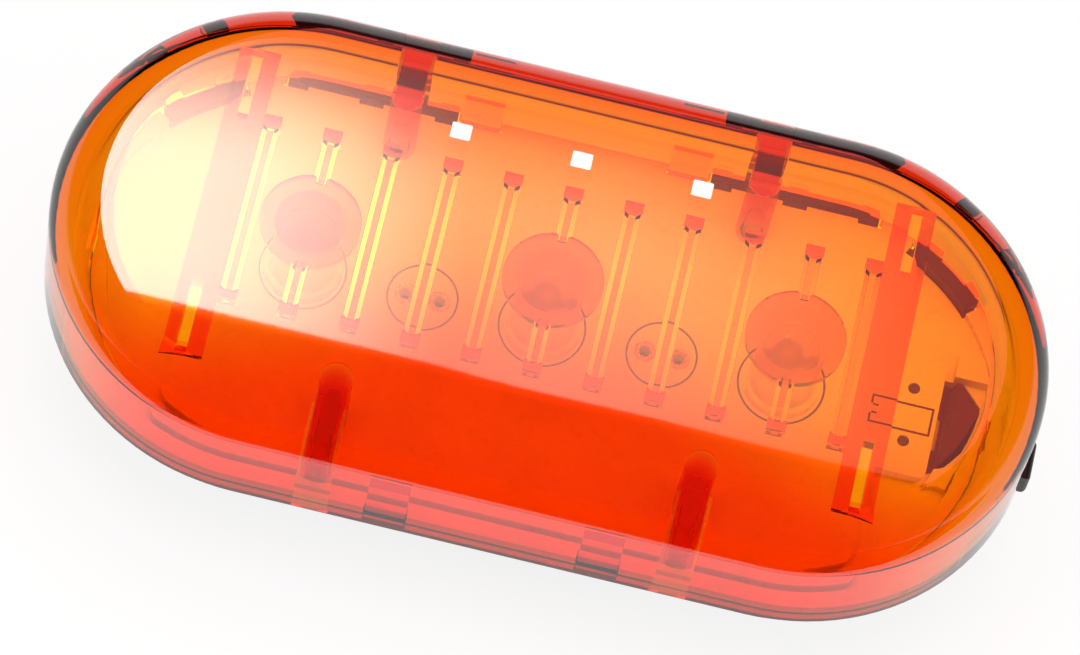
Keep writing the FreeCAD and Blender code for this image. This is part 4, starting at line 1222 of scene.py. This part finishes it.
    def end_slope(self, shape: Shape, x: float, side: int) -> None:
        """Adds the sloped solder at one end of a small part.

        Args:
            shape: Shape that gets it.
            x: Where the end of the part stands.
            side: Direction in which the solder spreads.
        """
        section = [(side * out, -rise * self.slope_rise) for out, rise in self.slope]
        upright = at(x, 0, self.back) @ Matrix.Rotation(math.pi / 2, 4, "X")
        shape.prism(section[::-side], -self.slope_half_width, self.slope_half_width, upright)

    def leg_pad(self, shape: Shape, x: float, y: float) -> None:
        """Adds the pad and solder under one leg of the chip.

        Args:
            shape: Shape that gets it.
            x: Its centre along the light.
            y: Its centre across the light.
        """
        half_x, half_y = self.leg_pad_half
        outline = rounded(x - half_x, x + half_x, y - half_y, y + half_y, self.leg_pad_corner, 3)
        shape.prism(outline, self.back - self.ink, self.back)

    def tracks(self) -> None:
        """Raised lines of copper under the mask on the back."""
        shape = Shape("board_tracks", "lens_body", "white_board", Finishes.TRACKS)
        half = self.track_half_width
        for run in self.track_runs:
            for start, end in zip(run, run[1:]):
                along = (Vector(end) - Vector(start)).normalized()
                across = Vector((-along.y, along.x)) * half
                reach = along * half * self.track_overlap
                a, b = Vector(start) - reach, Vector(end) + reach
                outline = [tuple(a - across), tuple(b - across), tuple(b + across), tuple(a + across)]
                shape.prism(outline, self.back - self.track_rise, self.back)
        shape.finish_piece()


@dataclass
class PrintedSquares:
    """Three plain squares printed on the outer face."""

    places: tuple[float, ...] = (-9.0, 0.0, 9.0)
    y: float = 9.27
    width: float = 1.5
    depth: float = 1.3
    corner: float = 0.12
    ink: float = 0.012

    def build(self) -> None:
        """Prints the squares as one layer of ink, half of it in the lens's face."""
        shape = Shape("printed_squares", "lens_body", "white_frame", Finishes.INK)
        face = box_mm("lens_cover")[1][2]
        for x in self.places:
            outline = rounded(x - self.width / 2, x + self.width / 2, self.y - self.depth / 2,
                              self.y + self.depth / 2, self.corner, 4)
            shape.prism(outline, face - self.ink, face + self.ink)
        shape.finish_piece()


@dataclass
class LensUnit:
    """Lens, board, LEDs and the small parts that ride on it."""

    finishes: tuple[tuple[str, Finishes], ...] = (
        ("lens_cover", Finishes.LENS), ("inner_frame", Finishes.FRAME), ("circuit_board", Finishes.BOARD),
        ("board_screws", Finishes.ZINC), ("controller_chip", Finishes.CHIP),
        ("capacitor", Finishes.CERAMIC), ("switch_body", Finishes.NYLON),
        ("resistor_1", Finishes.RESISTOR_1), ("resistor_2", Finishes.RESISTOR_2),
        ("resistor_3", Finishes.RESISTOR_3), ("switch_plunger", Finishes.ACETAL),
        ("push_button", Finishes.BUTTON))
    led_nodes: tuple[str, ...] = ("led_left", "led_centre", "led_right")

    def build(self) -> None:
        """Dresses the unit and builds what is finer than the solids."""
        for node, finish in self.finishes:
            dress(node, finish)
        leds = [Led(node) for node in self.led_nodes]
        for led in leds:
            led.build()
            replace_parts(bpy.data.objects[f"{led.node}_epoxy"], led.node)
        BoardDetail(tuple(led.x for led in leds)).build()
        PrintedSquares().build()


@dataclass
class Cell:
    """AAA cell rebuilt as its steel can, jacket and insulating ring, lying along X.

    Profiles give the radius and height of each point, from its foot or from its shoulder, and side is the
    way that its positive end points.
    """

    node: str
    side: int
    jacket_finish: Finishes
    place: Matrix = field(init=False)
    radius: float = field(init=False)
    length: float = field(init=False)
    nub_radius: float = 1.9
    nub_height: float = 0.9
    nub_root: float = 0.05
    nub_rounding: float = 0.25
    can_foot: tuple[Pair, ...] = ((0.0, 0.12), (2.4, 0.12), (2.7, 0.0), (4.4, 0.0), (4.75, 0.1),
                                  (4.95, 0.35))
    can_shoulder: tuple[Pair, ...] = ((4.95, -0.45), (4.8, -0.2), (2.2, -0.1))
    jacket_foot: tuple[Pair, ...] = ((4.5, 0.05), (4.95, 0.02), (5.15, 0.14))
    jacket_curl: Pair = (0.45, 0.5)
    jacket_shoulder: tuple[Pair, ...] = ((5.12, -0.14), (4.9, -0.02), (4.1, -0.04), (4.1, -0.12),
                                         (4.85, -0.16), (5.0, -0.5))
    jacket_lining: tuple[Pair, ...] = ((5.0, 0.4), (4.85, 0.16), (4.5, 0.11))
    ring: tuple[Pair, ...] = ((2.25, -0.12), (4.4, -0.2), (4.4, -0.1), (2.25, -0.04))

    def __post_init__(self) -> None:
        """Takes its size and place from its node, with the foot at the negative end."""
        low, high = box_mm(self.node)
        self.length = high[0] - low[0]
        self.radius = (high[2] - low[2]) / 2
        foot = low[0] if self.side > 0 else high[0]
        lying = Matrix.Rotation(self.side * math.pi / 2, 4, "Y")
        self.place = at(foot, (low[1] + high[1]) / 2, (low[2] + high[2]) / 2) @ lying

    def build(self) -> None:
        """Builds the three pieces."""
        top = self.length - self.nub_height
        nub = [(self.nub_radius, top + self.nub_root), (self.nub_radius, self.length - self.nub_rounding),
               (self.nub_radius - self.nub_rounding, self.length), (0.0, self.length)]
        can = Shape(f"{self.node}_can", "case_body", "nickel", Finishes.NICKEL)
        can.lathe([*self.can_foot, *raised(self.can_shoulder, top), *nub], self.place).finish_piece()
        side = [(self.radius, self.jacket_curl[0]), (self.radius, top - self.jacket_curl[1])]
        jacket = Shape(f"{self.node}_jacket", "case_body", "cell_jacket", self.jacket_finish)
        jacket.lathe([*self.jacket_foot, *side, *raised(self.jacket_shoulder, top), *self.jacket_lining],
                     self.place)
        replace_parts(jacket.finish_piece(), self.node)
        ring = Shape(f"{self.node}_ring", "case_body", "white_frame", Finishes.FIBRE)
        ring.lathe(raised(self.ring, top), self.place).finish_piece()


@dataclass
class RearUnit:
    """Case, cells and contacts."""

    metal_nodes: tuple[str, ...] = ("contact_bridge", "contact_positive", "contact_negative", "spring_bridge",
                                    "spring_negative")

    def build(self) -> None:
        """Dresses the unit and builds the cells."""
        dress("rear_case", Finishes.CASE)
        for node in self.metal_nodes:
            dress(node, Finishes.NICKEL)
        Cell("cell_upper", 1, Finishes.JACKET_UPPER).build()
        Cell("cell_lower", -1, Finishes.JACKET_LOWER).build()


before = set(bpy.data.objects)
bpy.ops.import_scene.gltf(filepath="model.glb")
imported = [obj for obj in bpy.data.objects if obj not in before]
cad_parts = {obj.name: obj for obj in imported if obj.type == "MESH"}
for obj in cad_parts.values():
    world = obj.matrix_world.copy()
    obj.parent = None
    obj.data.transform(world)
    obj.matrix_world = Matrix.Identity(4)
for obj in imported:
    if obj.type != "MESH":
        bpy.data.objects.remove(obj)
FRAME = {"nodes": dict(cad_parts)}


def main() -> None:
    """Builds the scene in order."""
    logging.basicConfig(level=logging.INFO, format="%(name)s: %(message)s")
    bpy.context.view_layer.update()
    Camera().build()
    Studio().build()
    LensUnit().build()
    RearUnit().build()


if __name__ == "__main__":
    main()
